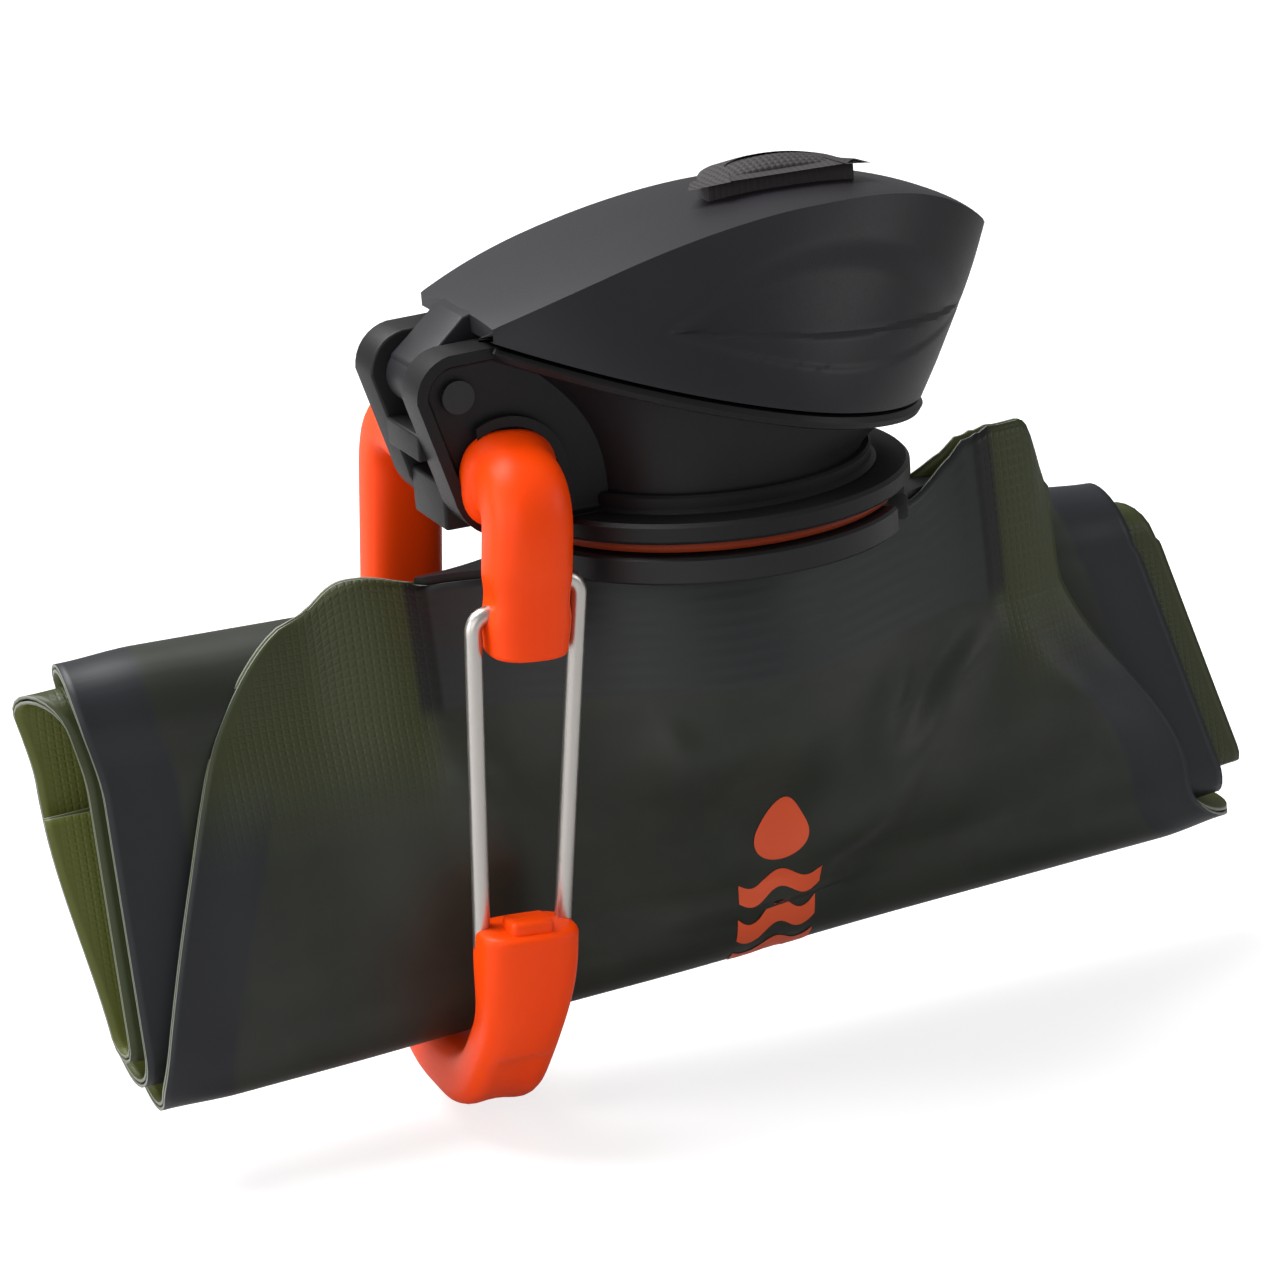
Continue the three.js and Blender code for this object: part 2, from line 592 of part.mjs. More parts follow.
// The section's first axis lies in the plane of the loop, its second across it.
function limbSection(depth, width) {
  const bevel = Math.min(width, depth) * 0.28;
  const [d, w] = [depth / 2, width / 2];
  const corners = [[-d + bevel, -w], [d - bevel, -w], [d, -w + bevel], [d, w - bevel], [d - bevel, w],
    [-d + bevel, w], [-d, w - bevel], [-d, -w + bevel]];
  return corners.map(([x, y]) => new THREE.Vector2(x, y));
}

// A route through corners, each rounded off over the same reach.
function roundedRoute(corners, reach) {
  const route = new THREE.CurvePath();
  let from = corners[0];
  for (let i = 1; i < corners.length - 1; i += 1) {
    const enter = corners[i].clone().add(corners[i - 1].clone().sub(corners[i]).setLength(reach));
    const leave = corners[i].clone().add(corners[i + 1].clone().sub(corners[i]).setLength(reach));
    route.add(new THREE.LineCurve3(from, enter));
    route.add(new THREE.QuadraticBezierCurve3(enter, corners[i], leave));
    from = leave;
  }
  route.add(new THREE.LineCurve3(from, corners[corners.length - 1]));
  return route;
}

const inPlane = (y, z) => new THREE.Vector3(0, y, z);

function sweep(section, route, steps) {
  return new THREE.ExtrudeGeometry(new THREE.Shape(section), { steps, extrudePath: route });
}

function carabinerBody() {
  const section = limbSection(LIMB_DEPTH, LIMB_WIDTH);
  const cheek = CHEEK_HALF + CLEARANCE;
  const frontRoute = roundedRoute([
    inPlane(-cheek, 0), inPlane(LOOP_FRONT - 0.6, 0), inPlane(LOOP_FRONT, -SOCKET_END),
  ], LOOP_FRONT * -1 - cheek - 0.2);
  const backRoute = roundedRoute([
    inPlane(cheek, 0), inPlane(LOOP_BACK, 0), inPlane(LOOP_BACK, -LOOP_DROP),
    inPlane(LOOP_FRONT, -LOOP_DROP), inPlane(LOOP_FRONT, -HOOK_TOP),
  ], BOTTOM_CORNER);
  const bar = rodY(BAR_RADIUS, BAR_RADIUS, -cheek - 1, cheek + 1, 0, 0, 24);
  const frontLimb = solid(sweep(section, frontRoute, 12));
  const backLimb = solid(sweep(section, backRoute, 44));
  const footY = LOOP_FRONT + GATE_SET_IN;
  const notch = block(-LIMB_WIDTH, LIMB_WIDTH, footY - WIRE_RADIUS - CLEARANCE, footY + LIMB_DEPTH,
    -GATE_END - WIRE_RADIUS - CLEARANCE, -HOOK_TOP + 1);
  const sockets = [-1, 1].map((side) => {
    const x0 = side * (LIMB_WIDTH / 2 - GATE_STUB - CLEARANCE);
    const x1 = side * (LIMB_WIDTH / 2 + 1);
    const radius = WIRE_RADIUS + SOCKET_PLAY;
    const hole = new THREE.CylinderGeometry(radius, radius, Math.abs(x1 - x0), 16).rotateZ(Math.PI / 2);
    return solid(hole.translate((x0 + x1) / 2, LOOP_FRONT, -GATE_SOCKET + side * GATE_STAGGER));
  });
  return cut(join(bar, frontLimb, backLimb), notch, ...sockets);
}

// A bent steel wire: its two ends sit in staggered sockets, and their offset springs it shut.
function gateWire() {
  const stub = LIMB_WIDTH / 2 - GATE_STUB;
  const foot = LOOP_FRONT + GATE_SET_IN;
  const leg = (side) => {
    const height = -GATE_SOCKET + side * GATE_STAGGER;
    return [
      new THREE.Vector3(side * stub, LOOP_FRONT, height),
      new THREE.Vector3(side * GATE_HALF_WIDTH, LOOP_FRONT, height),
      new THREE.Vector3(side * GATE_FOOT_HALF, foot, -GATE_END),
    ];
  };
  const route = roundedRoute([...leg(-1), ...leg(1).reverse()], GATE_BEND);
  const ring = new THREE.Shape().absarc(0, 0, WIRE_RADIUS, 0, 2 * Math.PI).getPoints(4).slice(0, 8);
  return sweep(ring, route, 56);
}

place("carabiner_body", geometryOf(carabinerBody()), "orange", carabiner);
place("gate_wire", gateWire(), "steel", carabiner);

export default bottle;
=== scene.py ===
"""Looks of a folding water bottle, rolled up, with a flip-top cap and a carabiner round the roll.

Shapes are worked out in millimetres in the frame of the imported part: +Z is the axis of the neck,
+X runs along the roll towards the lid's nose, and -Y is the side with the carabiner's gate. Each
mesh is turned to metres as its last step.
"""

import logging
import math
from collections.abc import Callable, Iterable, Sequence
from dataclasses import dataclass, field
from enum import Enum

import bmesh
import bpy
from mathutils import Matrix, Vector, noise


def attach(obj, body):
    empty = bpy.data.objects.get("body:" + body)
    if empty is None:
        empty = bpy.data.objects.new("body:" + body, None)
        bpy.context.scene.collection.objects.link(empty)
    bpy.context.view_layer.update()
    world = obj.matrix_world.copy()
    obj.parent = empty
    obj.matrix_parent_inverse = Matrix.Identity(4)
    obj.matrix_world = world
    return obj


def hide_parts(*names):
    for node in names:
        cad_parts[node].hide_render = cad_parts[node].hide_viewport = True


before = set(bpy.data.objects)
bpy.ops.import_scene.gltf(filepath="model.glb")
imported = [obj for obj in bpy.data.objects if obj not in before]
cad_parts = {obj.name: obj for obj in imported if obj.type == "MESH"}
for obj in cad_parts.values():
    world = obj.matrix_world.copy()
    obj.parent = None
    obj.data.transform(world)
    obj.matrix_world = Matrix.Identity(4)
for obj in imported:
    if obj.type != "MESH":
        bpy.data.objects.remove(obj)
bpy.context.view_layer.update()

log = logging.getLogger("folding_bottle")

MM = 0.001
Place = Callable[[float, float], Vector]
Socket = bpy.types.NodeSocket


class Body(Enum):
    """The part's moving bodies."""

    BOTTLE = "bottle"
    CAP = "cap"
    LID = "lid"
    CARABINER = "carabiner"
    GATE = "gate"


class Slot(Enum):
    """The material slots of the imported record."""

    FILM = "film"
    FITMENT = "fitment"
    SEAL = "seal"
    SHELL = "shell"
    PIN = "pin"
    SILICONE = "silicone"
    TAB = "tab"
    ORANGE = "orange"
    WIRE = "wire"


class Panel(Enum):
    """The two films of the pouch; the value is the side of the pouch's middle that each lies on."""

    FRONT = -1
    BACK = 1


# ---- Small helpers ----


def smooth(t: float) -> float:
    """Smoothstep of t, held between 0 and 1."""
    t = min(1.0, max(0.0, t))
    return t * t * (3 - 2 * t)


def mix(a: float, b: float, t: float) -> float:
    """Value a share t of the way from a to b."""
    return a + (b - a) * t


def clamp(t: float) -> float:
    """Value t held between 0 and 1."""
    return min(1.0, max(0.0, t))


def once(items: Iterable) -> list:
    """Lists each item once, in the order met, so that every run makes the same mesh."""
    return list(dict.fromkeys(items))


def along_corners(corners: Sequence[tuple[float, float]], share: float) -> tuple[float, float]:
    """Gives a place on a line through corners that are passed at an even pace.

    Args:
        corners: The line's corners.
        share: Share of the way, from 0 to 1.

    Returns:
        The two values of the place.
    """
    place = share * (len(corners) - 1)
    first = min(len(corners) - 2, int(place))
    before, after = corners[first], corners[first + 1]
    return mix(before[0], after[0], place - first), mix(before[1], after[1], place - first)


def linear(colour: str) -> tuple[float, float, float, float]:
    """Turns an sRGB hex colour to linear.

    Args:
        colour: Hex text such as "#ff5a1a".

    Returns:
        Linear red, green, blue and an alpha of 1.
    """
    parts = [int(colour[i : i + 2], 16) / 255 for i in (1, 3, 5)]
    lin = [c / 12.92 if c <= 0.04045 else ((c + 0.055) / 1.055) ** 2.4 for c in parts]
    return (*lin, 1.0)


def add_node(tree: bpy.types.NodeTree, kind: str, inputs: dict | None = None, **settings) -> bpy.types.Node:
    """Adds a node with its settings and links.

    Args:
        tree: Node tree to add to.
        kind: Node type, without the "ShaderNode" in front.
        inputs: Values or output sockets, by input name or number.
        **settings: Properties of the node itself.

    Returns:
        The new node.
    """
    node = tree.nodes.new("ShaderNode" + kind)
    for name, value in settings.items():
        setattr(node, name, value)
    for key, value in (inputs or {}).items():
        if isinstance(value, Socket):
            tree.links.new(value, node.inputs[key])
        else:
            node.inputs[key].default_value = value
    return node


def new_material(name: str) -> tuple[bpy.types.Material, bpy.types.NodeTree, bpy.types.Node]:
    """Makes a material that still has the plain shader.

    Args:
        name: Name of the material.

    Returns:
        The material, its node tree and its shader.
    """
    made = bpy.data.materials.new(name)
    made.use_nodes = True
    return made, made.node_tree, made.node_tree.nodes["Principled BSDF"]


def seen_by_lens(tree: bpy.types.NodeTree) -> Socket:
    """Mask that is 1 where a ray comes straight from the lens or through a clear piece."""
    path = add_node(tree, "LightPath")
    return add_node(tree, "Math", {0: path.outputs["Is Camera Ray"], 1: path.outputs["Is Transmission Ray"]},
                    operation="MAXIMUM").outputs[0]


# ---- Finishes ----


@dataclass(frozen=True)
class MouldedPlastic:
    """Moulded thermoplastic with a spark-eroded grain: dull, with a soft sheen on faces turned up."""

    name: str
    colour: str
    worn: str
    roughness: float = 0.5
    ior: float = 1.49
    grain_mm: float = 0.3  # coarser than the real grain of 0.1 mm, so that it shows
    grain_height_mm: float = 0.02
    cloud_mm: float = 9.0
    subsurface: float = 0.0
    subsurface_mm: float = 0.8
    specular: float = 0.5

    def material(self) -> bpy.types.Material:
        """Builds the node material."""
        made, tree, shader = new_material(self.name)
        where = add_node(tree, "TexCoord").outputs["Object"]
        cloud = add_node(tree, "TexNoise", {"Vector": where, "Detail": 3.0,
                                            "Scale": 1 / (self.cloud_mm * MM)})
        grain = add_node(tree, "TexNoise", {"Vector": where, "Detail": 2.0,
                                            "Scale": 1 / (self.grain_mm * MM)})
        tint = add_node(tree, "Mix", {0: cloud.outputs["Fac"], 6: linear(self.colour), 7: linear(self.worn)},
                        data_type="RGBA")
        gloss = add_node(tree, "MapRange", {0: grain.outputs["Fac"], 3: self.roughness - 0.05,
                                            4: self.roughness + 0.07})
        bump = add_node(tree, "Bump", {"Height": grain.outputs["Fac"], "Strength": 0.5,
                                       "Distance": self.grain_height_mm * MM})
        tree.links.new(tint.outputs[2], shader.inputs["Base Color"])
        tree.links.new(gloss.outputs[0], shader.inputs["Roughness"])
        tree.links.new(bump.outputs[0], shader.inputs["Normal"])
        shader.inputs["IOR"].default_value = self.ior
        shader.inputs["Specular IOR Level"].default_value = self.specular
        shader.inputs["Subsurface Weight"].default_value = self.subsurface
        shader.inputs["Subsurface Scale"].default_value = self.subsurface_mm * MM
        return made


@dataclass(frozen=True)
class DottedRubber:
    """Thermoplastic elastomer with small raised dots for grip: very dull."""

    name: str = "tpe_dotted"
    colour: str = "#2b2628"
    dot_pitch_mm: float = 0.75
    dot_height_mm: float = 0.12

    def material(self) -> bpy.types.Material:
        """Builds the node material."""
        made, tree, shader = new_material(self.name)
        where = add_node(tree, "TexCoord").outputs["Object"]
        dots = add_node(tree, "TexVoronoi", {"Vector": where, "Scale": 1 / (self.dot_pitch_mm * MM),
                                             "Randomness": 0.15}, voronoi_dimensions="2D")
        height = add_node(tree, "MapRange", {0: dots.outputs["Distance"], 1: 0.15, 2: 0.5, 3: 1.0, 4: 0.0})
        bump = add_node(tree, "Bump", {"Height": height.outputs[0], "Strength": 0.8,
                                       "Distance": self.dot_height_mm * MM})
        tree.links.new(bump.outputs[0], shader.inputs["Normal"])
        shader.inputs["Base Color"].default_value = linear(self.colour)
        shader.inputs["Roughness"].default_value = 0.72
        return made


@dataclass(frozen=True)
class DrawnWire:
    """Stainless steel wire, drawn and tumbled: bright, with fine scratches along it."""

    name: str = "stainless_wire"
    colour: str = "#c9c4bf"
    roughness: float = 0.33
    scratch_mm: float = 0.25

    def material(self) -> bpy.types.Material:
        """Builds the node material."""
        made, tree, shader = new_material(self.name)
        where = add_node(tree, "TexCoord").outputs["Object"]
        drawn = add_node(tree, "Mapping", {"Vector": where, "Scale": (1.0, 1.0, 0.04)})
        lines = add_node(tree, "TexNoise", {"Vector": drawn.outputs[0], "Scale": 1 / (self.scratch_mm * MM)})
        gloss = add_node(tree, "MapRange", {0: lines.outputs["Fac"], 3: self.roughness - 0.07,
                                            4: self.roughness + 0.12})
        tree.links.new(gloss.outputs[0], shader.inputs["Roughness"])
        shader.inputs["Base Color"].default_value = linear(self.colour)
        shader.inputs["Metallic"].default_value = 1.0
        return made


@dataclass(frozen=True)
class LaminateFilm:
    """Nylon film laminated with polyethylene, dyed through: satin, a little darker at its seams.

    The side seams are pressed flat between heated bars and look blue-grey. The corners are clear
    and keep the mesh of the woven layer; their olive tint is painted light shining through from
    behind. The weld over the fitment has the ribs of its jaws.
    """

    name: str = "laminate_film"
    colour: str = "#2c2f28"
    deep: str = "#22261f"
    # olive of the clear corners: painted light shining through the film from behind
    backlight_olive: str = "#343a1c"
    seam: str = "#1f2125"
    weld: str = "#282a2b"
    hatch: str = "#0f100f"
    seams: bool = True  # False leaves the seams in the film's own colour
    seam_mm: float = 8.5
    seam_start_mm: tuple[float, float] = (16.0, 30.0)
    weave_mm: float = 0.8
    weave_share: float = 0.45
    rib_mm: float = 1.5
    rib_share: float = 0.3
    thread_share: float = 0.18
    relief_mm: float = 0.16
    weld_mm: float = 14.0
    weld_reach_mm: tuple[float, float] = (34.8, 33.6)
    tip_inner_mm: tuple[float, float] = (33.2, 33.9)
    tip_outer_mm: tuple[float, float] = (36.6, 35.4)
    corner_reach_mm: tuple[float, float] = (33.0, 37.0)
    corner_drop_mm: tuple[float, float] = (30.0, 12.0)
    bottom_mm: float = 176.0  # where the clear corners of the pouch's bottom begin
    bottom_fade_mm: float = 10.0
    specular: float = 0.36

    def material(self) -> bpy.types.Material:
        """Builds the node material; it reads the film's own attributes, in millimetres."""
        made, tree, shader = new_material(self.name)

        def attribute(name: str) -> Socket:
            """Output socket of one of the film's attributes."""
            return add_node(tree, "Attribute", attribute_name=name).outputs["Fac"]

        def ramp(value: Socket, start: float, end: float) -> Socket:
            """Goes from 0 at start to 1 at end."""
            return add_node(tree, "MapRange", {0: value, 1: start, 2: end},
                            interpolation_type="SMOOTHSTEP").outputs[0]

        def layer(under: Socket, colour: str, mask: Socket) -> Socket:
            """Lays a colour over another where the mask is 1."""
            return add_node(tree, "Mix", {0: mask, 6: under, 7: linear(colour)}, data_type="RGBA").outputs[2]

        def both(a: Socket, b: Socket) -> Socket:
            """Product of two masks."""
            return add_node(tree, "Math", {0: a, 1: b}, operation="MULTIPLY").outputs[0]

        edge, along, across = attribute("edge_mm"), attribute("along_mm"), attribute("across_mm")
        flat = add_node(tree, "CombineXYZ", {0: across, 1: along}).outputs[0]
        reach = add_node(tree, "Math", {0: across}, operation="ABSOLUTE").outputs[0]
        cloud = add_node(tree, "TexNoise", {"Vector": flat, "Scale": 1 / 16, "Detail": 4.0}).outputs["Fac"]
        drawn = add_node(tree, "Mapping", {"Vector": flat, "Scale": (0.08, 1.0, 1.0)}).outputs[0]
        thread = add_node(tree, "TexNoise", {"Vector": drawn, "Scale": 1.4, "Detail": 3.0}).outputs["Fac"]
        cells = add_node(tree, "TexVoronoi", {"Vector": flat, "Scale": 1 / self.weave_mm, "Randomness": 0.0},
                         voronoi_dimensions="2D", distance="CHEBYCHEV").outputs["Distance"]
        ribs = add_node(tree, "TexWave", {"Vector": flat, "Scale": math.pi / (10 * self.rib_mm),
                                          "Distortion": 0.6, "Detail": 1.0},
                        bands_direction="Y").outputs["Fac"]
        bottom_end = self.bottom_mm + self.bottom_fade_mm
        top_corner = both(ramp(reach, *self.corner_reach_mm), ramp(along, *self.corner_drop_mm))
        corner = add_node(tree, "Math", {0: top_corner, 1: ramp(along, self.bottom_mm, bottom_end)},
                          operation="MAXIMUM").outputs[0]
        in_seam = ramp(edge, self.seam_mm, self.seam_mm - 1.0)
        beside_roll = both(ramp(along, *self.seam_start_mm), ramp(along, bottom_end, self.bottom_mm))
        low_seam = both(in_seam, beside_roll)
        in_weld = both(ramp(along, self.weld_mm, self.weld_mm - 0.8), ramp(reach, *self.weld_reach_mm))
        at_tip = both(ramp(along, self.weld_mm + 1.0, self.weld_mm - 1.5),
                      both(ramp(reach, *self.tip_inner_mm), ramp(reach, *self.tip_outer_mm)))
        colour = add_node(tree, "Mix", {0: ramp(cloud, 0.35, 0.65), 6: linear(self.deep),
                                        7: linear(self.colour)}, data_type="RGBA").outputs[2]
        # the clear corners take the olive tint, painted light shining through them from behind
        colour = layer(colour, self.backlight_olive, corner)
        if self.seams:
            colour = layer(colour, self.seam, low_seam)
        colour = layer(colour, self.weld, in_weld)
        colour = layer(colour, self.hatch, at_tip)
        weave = both(both(corner, ramp(cells, 0.5, 0.2)), ramp(edge, 0.4, 3.0))
        weave = add_node(tree, "Math", {0: weave, 1: self.weave_share}, operation="MULTIPLY").outputs[0]
        height = add_node(tree, "Math", {0: both(in_weld, ribs), 1: self.rib_share, 2: weave},
                          operation="MULTIPLY_ADD").outputs[0]
        height = add_node(tree, "Math", {0: thread, 1: self.thread_share, 2: height},
                          operation="MULTIPLY_ADD").outputs[0]
        bump = add_node(tree, "Bump", {"Height": height, "Strength": 0.55, "Distance": self.relief_mm * MM})
        gloss = add_node(tree, "MapRange", {0: thread, 3: 0.4, 4: 0.52}).outputs[0]
        tree.links.new(colour, shader.inputs["Base Color"])
        tree.links.new(gloss, shader.inputs["Roughness"])
        tree.links.new(bump.outputs[0], shader.inputs["Normal"])
        shader.inputs["Specular IOR Level"].default_value = self.specular
        return made


@dataclass(frozen=True)
class PlainFilm:
    """The liner side or the cut edge of the film: polyethylene, evenly satin."""

    name: str
    colour: str
    roughness: float = 0.45

    def material(self) -> bpy.types.Material:
        """Builds the node material."""
        made, tree, shader = new_material(self.name)
        where = add_node(tree, "TexCoord").outputs["Object"]
        haze = add_node(tree, "TexNoise", {"Vector": where, "Scale": 1 / (6 * MM), "Detail": 3.0})
        gloss = add_node(tree, "MapRange", {0: haze.outputs["Fac"], 3: self.roughness - 0.06,
                                            4: self.roughness + 0.06})
        tree.links.new(gloss.outputs[0], shader.inputs["Roughness"])
        shader.inputs["Base Color"].default_value = linear(self.colour)
        return made


@dataclass(frozen=True)
class StudioPaper:
    """Seamless background paper: matt, and plain white to the lens and in reflections."""

    name: str = "studio_paper"
    colour: str = "#b8b8b8"
    lens_glow: float = 0.72

    def material(self) -> bpy.types.Material:
        """Builds the node material."""
        made, tree, shader = new_material(self.name)
        shader.inputs["Base Color"].default_value = linear(self.colour)
        shader.inputs["Roughness"].default_value = 0.9
        shader.inputs["Specular IOR Level"].default_value = 0.1
        glow = add_node(tree, "Math", {0: seen_by_lens(tree), 1: self.lens_glow}, operation="MULTIPLY")
        shader.inputs["Emission Color"].default_value = (1.0, 1.0, 1.0, 1.0)
        tree.links.new(glow.outputs[0], shader.inputs["Emission Strength"])
        return made


@dataclass(frozen=True)
class Finishes:
    """Every finish of the object, made once."""

    shell: bpy.types.Material = field(default_factory=lambda: MouldedPlastic(
        "polypropylene_black", "#1b191d", "#211f24", 0.44, specular=0.34).material())
    # the cap base and its deck take the lid's black plastic painted darker: painted shade under the lid and
    # in the waist
    base: bpy.types.Material = field(default_factory=lambda: MouldedPlastic(
        "polypropylene_black_painted_shade", "#111012", "#161517", 0.46, specular=0.28).material())
    fitment: bpy.types.Material = field(default_factory=lambda: MouldedPlastic(
        "polyethylene_charcoal", "#161618", "#1f1f21", 0.4, specular=0.34).material())
    pin: bpy.types.Material = field(default_factory=lambda: MouldedPlastic(
        "acetal_black", "#151517", "#1b1b1e", 0.38).material())
    orange: bpy.types.Material = field(default_factory=lambda: MouldedPlastic(
        "acetal_orange", "#ff4300", "#ff4b00", 0.4, grain_mm=0.6, grain_height_mm=0.01,
        subsurface=0.1, specular=0.22).material())
    seal: bpy.types.Material = field(default_factory=lambda: MouldedPlastic(
        "silicone_seal", "#8a2f10", "#973714", 0.55).material())
    silicone: bpy.types.Material = field(default_factory=lambda: MouldedPlastic(
        "silicone_clear_grey", "#b9bab4", "#c6c7c1", 0.4, subsurface=0.3).material())
    tab: bpy.types.Material = field(default_factory=lambda: DottedRubber().material())
    wire: bpy.types.Material = field(default_factory=lambda: DrawnWire().material())
    film: bpy.types.Material = field(default_factory=lambda: LaminateFilm().material())
    # the back film is the same dark laminate, with its yellow-green painted as light shining through it from
    # behind
    back_film: bpy.types.Material = field(default_factory=lambda: LaminateFilm(
        "laminate_film_painted_backlight", "#5c6226", "#4c5220", "#565c22", weld="#4a5020", seams=False).material())
    # the liner's yellow-green is painted light shining through the film from behind
    liner: bpy.types.Material = field(default_factory=lambda: PlainFilm(
        "polyethylene_liner_painted_backlight", "#4f5524").material())
    cut_edge: bpy.types.Material = field(default_factory=lambda: PlainFilm(
        "film_cut_edge", "#787c74", 0.4).material())
    ink: bpy.types.Material = field(default_factory=lambda: PlainFilm(
        "screen_ink", "#e2552a", 0.5).material())


# ---- Mesh helpers ----


def bent_grid(bm: bmesh.types.BMesh, columns: int, rows: int, place: Place, flip: bool = False) -> list:
    """Adds a grid and puts each of its points where place says; seams that meet are merged.

    Args:
        bm: Mesh to add to.
        columns: Faces along the first direction.
        rows: Faces along the second direction.
        place: Gives the place in millimetres of the point at shares u and v of the grid.
        flip: Turns the faces over.

    Returns:
        The grid's vertices.
    """
    made = bmesh.ops.create_grid(bm, x_segments=columns, y_segments=rows, size=0.5)
    verts = made["verts"]
    for vert in verts:
        vert.co = place(vert.co.x + 0.5, vert.co.y + 0.5)
    if flip:
        faces = once(face for vert in verts for face in vert.link_faces)
        bmesh.ops.reverse_faces(bm, faces=faces)
    bmesh.ops.remove_doubles(bm, verts=verts, dist=1e-4)
    return [vert for vert in verts if vert.is_valid]


def round_edges(bm: bmesh.types.BMesh, edges: list, radius: float, segments: int = 3) -> None:
    """Rounds edges off.

    Args:
        bm: Mesh that the edges are in.
        edges: The edges.
        radius: Width of the rounding in millimetres.
        segments: Number of faces across it.
    """
    bmesh.ops.bevel(bm, geom=edges, offset=radius, offset_type="OFFSET", affect="EDGES", segments=segments,
                    profile=0.5, material=-1)


def add_block(bm: bmesh.types.BMesh, low: Sequence[float], high: Sequence[float], bevel: float = 0.0) -> None:
    """Adds a block between two corners, with rounded edges.

    Args:
        bm: Mesh to add to.
        low: Lowest corner in millimetres.
        high: Highest corner in millimetres.
        bevel: Radius of the rounded edges.
    """
    size = Vector(high) - Vector(low)
    centre = (Vector(high) + Vector(low)) / 2
    where = Matrix.Translation(centre) @ Matrix.Diagonal((*size, 1))
    made = bmesh.ops.create_cube(bm, size=1.0, matrix=where)
    if bevel:
        round_edges(bm, once(edge for vert in made["verts"] for edge in vert.link_edges), bevel)


def add_plate(bm: bmesh.types.BMesh, outline: Sequence[tuple[float, float]], y0: float, y1: float,
              bevel: float = 0.0, panel: float = 0.0, sunk: float = 0.0) -> None:
    """Adds a plate across Y with the outline given in X and Z, and a sunk panel in its first face.

    Args:
        bm: Mesh to add to.
        outline: Corners in X and Z, in millimetres.
        y0: Y of the face with the panel.
        y1: Y of the other face.
        bevel: Radius of the rounded edges.
        panel: Width of the frame left round the panel, or 0 for none.
        sunk: Depth of the panel.
    """
    rim = [bm.verts.new((x, y0, z)) for x, z in outline]
    face = bm.faces.new(rim)
    grown = bmesh.ops.extrude_face_region(bm, geom=[face], use_keep_orig=True)
    moved = [item for item in grown["geom"] if isinstance(item, bmesh.types.BMVert)]
    bmesh.ops.translate(bm, verts=moved, vec=(0, y1 - y0, 0))
    faces = once(f for vert in rim + moved for f in vert.link_faces)
    bmesh.ops.recalc_face_normals(bm, faces=faces)
    if panel:
        bmesh.ops.inset_region(bm, faces=[face], thickness=panel, depth=0.0, use_even_offset=True)
        bmesh.ops.inset_region(bm, faces=[face], thickness=0.25, depth=-sunk, use_even_offset=True)
    if bevel:
        edges = [e for e in once(e for vert in rim + moved for e in vert.link_edges)
                 if e.is_valid and len(e.link_faces) == 2 and e.calc_face_angle(0) > 0.5]
        round_edges(bm, edges, bevel)


def add_turned(bm: bmesh.types.BMesh, profile: Sequence[tuple[float, float]], steps: int = 96,
               start: float = 0.0, sweep: float = 2 * math.pi) -> None:
    """Adds a closed profile of radius and height, spun round the upright axis into a ring or an arc.

    Args:
        bm: An empty mesh to add to.
        profile: Radius and height of each corner, in millimetres.
        steps: Number of steps round.
        start: Angle at which the ring begins, in radians.
        sweep: Angle that it goes through.
    """
    whole = sweep > 2 * math.pi - 1e-6
    verts = [bm.verts.new((r * math.cos(start), r * math.sin(start), z)) for r, z in profile]
    edges = [bm.edges.new((a, b)) for a, b in zip(verts, verts[1:] + verts[:1])]
    bmesh.ops.spin(bm, geom=verts + edges, cent=(0, 0, 0), axis=(0, 0, 1), angle=sweep, steps=steps,
                   use_merge=whole, use_duplicate=False)
    if not whole:
        bmesh.ops.holes_fill(bm, edges=[edge for edge in bm.edges if edge.is_boundary], sides=0)
    bmesh.ops.recalc_face_normals(bm, faces=bm.faces)


def join_mesh(bm: bmesh.types.BMesh, part: bmesh.types.BMesh) -> None:
    """Adds all of one mesh to another and frees it.

    Args:
        bm: Mesh to add to.
        part: Mesh to add; it is freed.
    """
    scrap = bpy.data.meshes.new("part")
    part.to_mesh(scrap)
    part.free()
    bm.from_mesh(scrap)
    bpy.data.meshes.remove(scrap)


def add_rod(bm: bmesh.types.BMesh, radius: float, y0: float, y1: float, x: float, z: float,
            bevel: float = 0.25) -> None:
    """Adds a rod along Y.

    Args:
        bm: Mesh to add to.
        radius: Radius in millimetres.
        y0: Y of one end.
        y1: Y of the other end.
        x: X of its axis.
        z: Z of its axis.
        bevel: Radius of the rounded ends.
    """
    turn = Matrix.Rotation(math.pi / 2, 4, "X")
    where = Matrix.Translation((x, (y0 + y1) / 2, z)) @ turn
    made = bmesh.ops.create_cone(bm, cap_ends=True, cap_tris=False, segments=48, radius1=radius,
                                 radius2=radius, depth=abs(y1 - y0), matrix=where)
    edges = once(e for vert in made["verts"] for e in vert.link_edges)
    rims = [e for e in edges if e.calc_face_angle(0) > 1.0]
    round_edges(bm, rims, bevel, segments=2)


def make_piece(name: str, bm: bmesh.types.BMesh, materials: Sequence[bpy.types.Material], body: Body,
               slot: Slot, nodes: Sequence[str] = (), sharp: float = 32.0) -> bpy.types.Object:
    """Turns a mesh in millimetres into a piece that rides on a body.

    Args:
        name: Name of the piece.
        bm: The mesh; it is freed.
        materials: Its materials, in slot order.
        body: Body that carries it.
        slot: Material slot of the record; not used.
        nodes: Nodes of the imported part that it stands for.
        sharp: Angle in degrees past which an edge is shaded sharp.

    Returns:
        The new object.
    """
    bmesh.ops.scale(bm, vec=(MM, MM, MM), verts=bm.verts)
    mesh = bpy.data.meshes.new(name)
    bm.to_mesh(mesh)
    bm.free()
    for material in materials:
        mesh.materials.append(material)
    mesh.shade_smooth()
    mesh.set_sharp_from_angle(angle=math.radians(sharp))
    piece = bpy.data.objects.new(name, mesh)
    bpy.context.scene.collection.objects.link(piece)
    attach(piece, body.value)
    if nodes:
        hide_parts(*nodes)
    log.info("made %s: %d faces, on %s", name, len(mesh.polygons), body.value)
    return piece


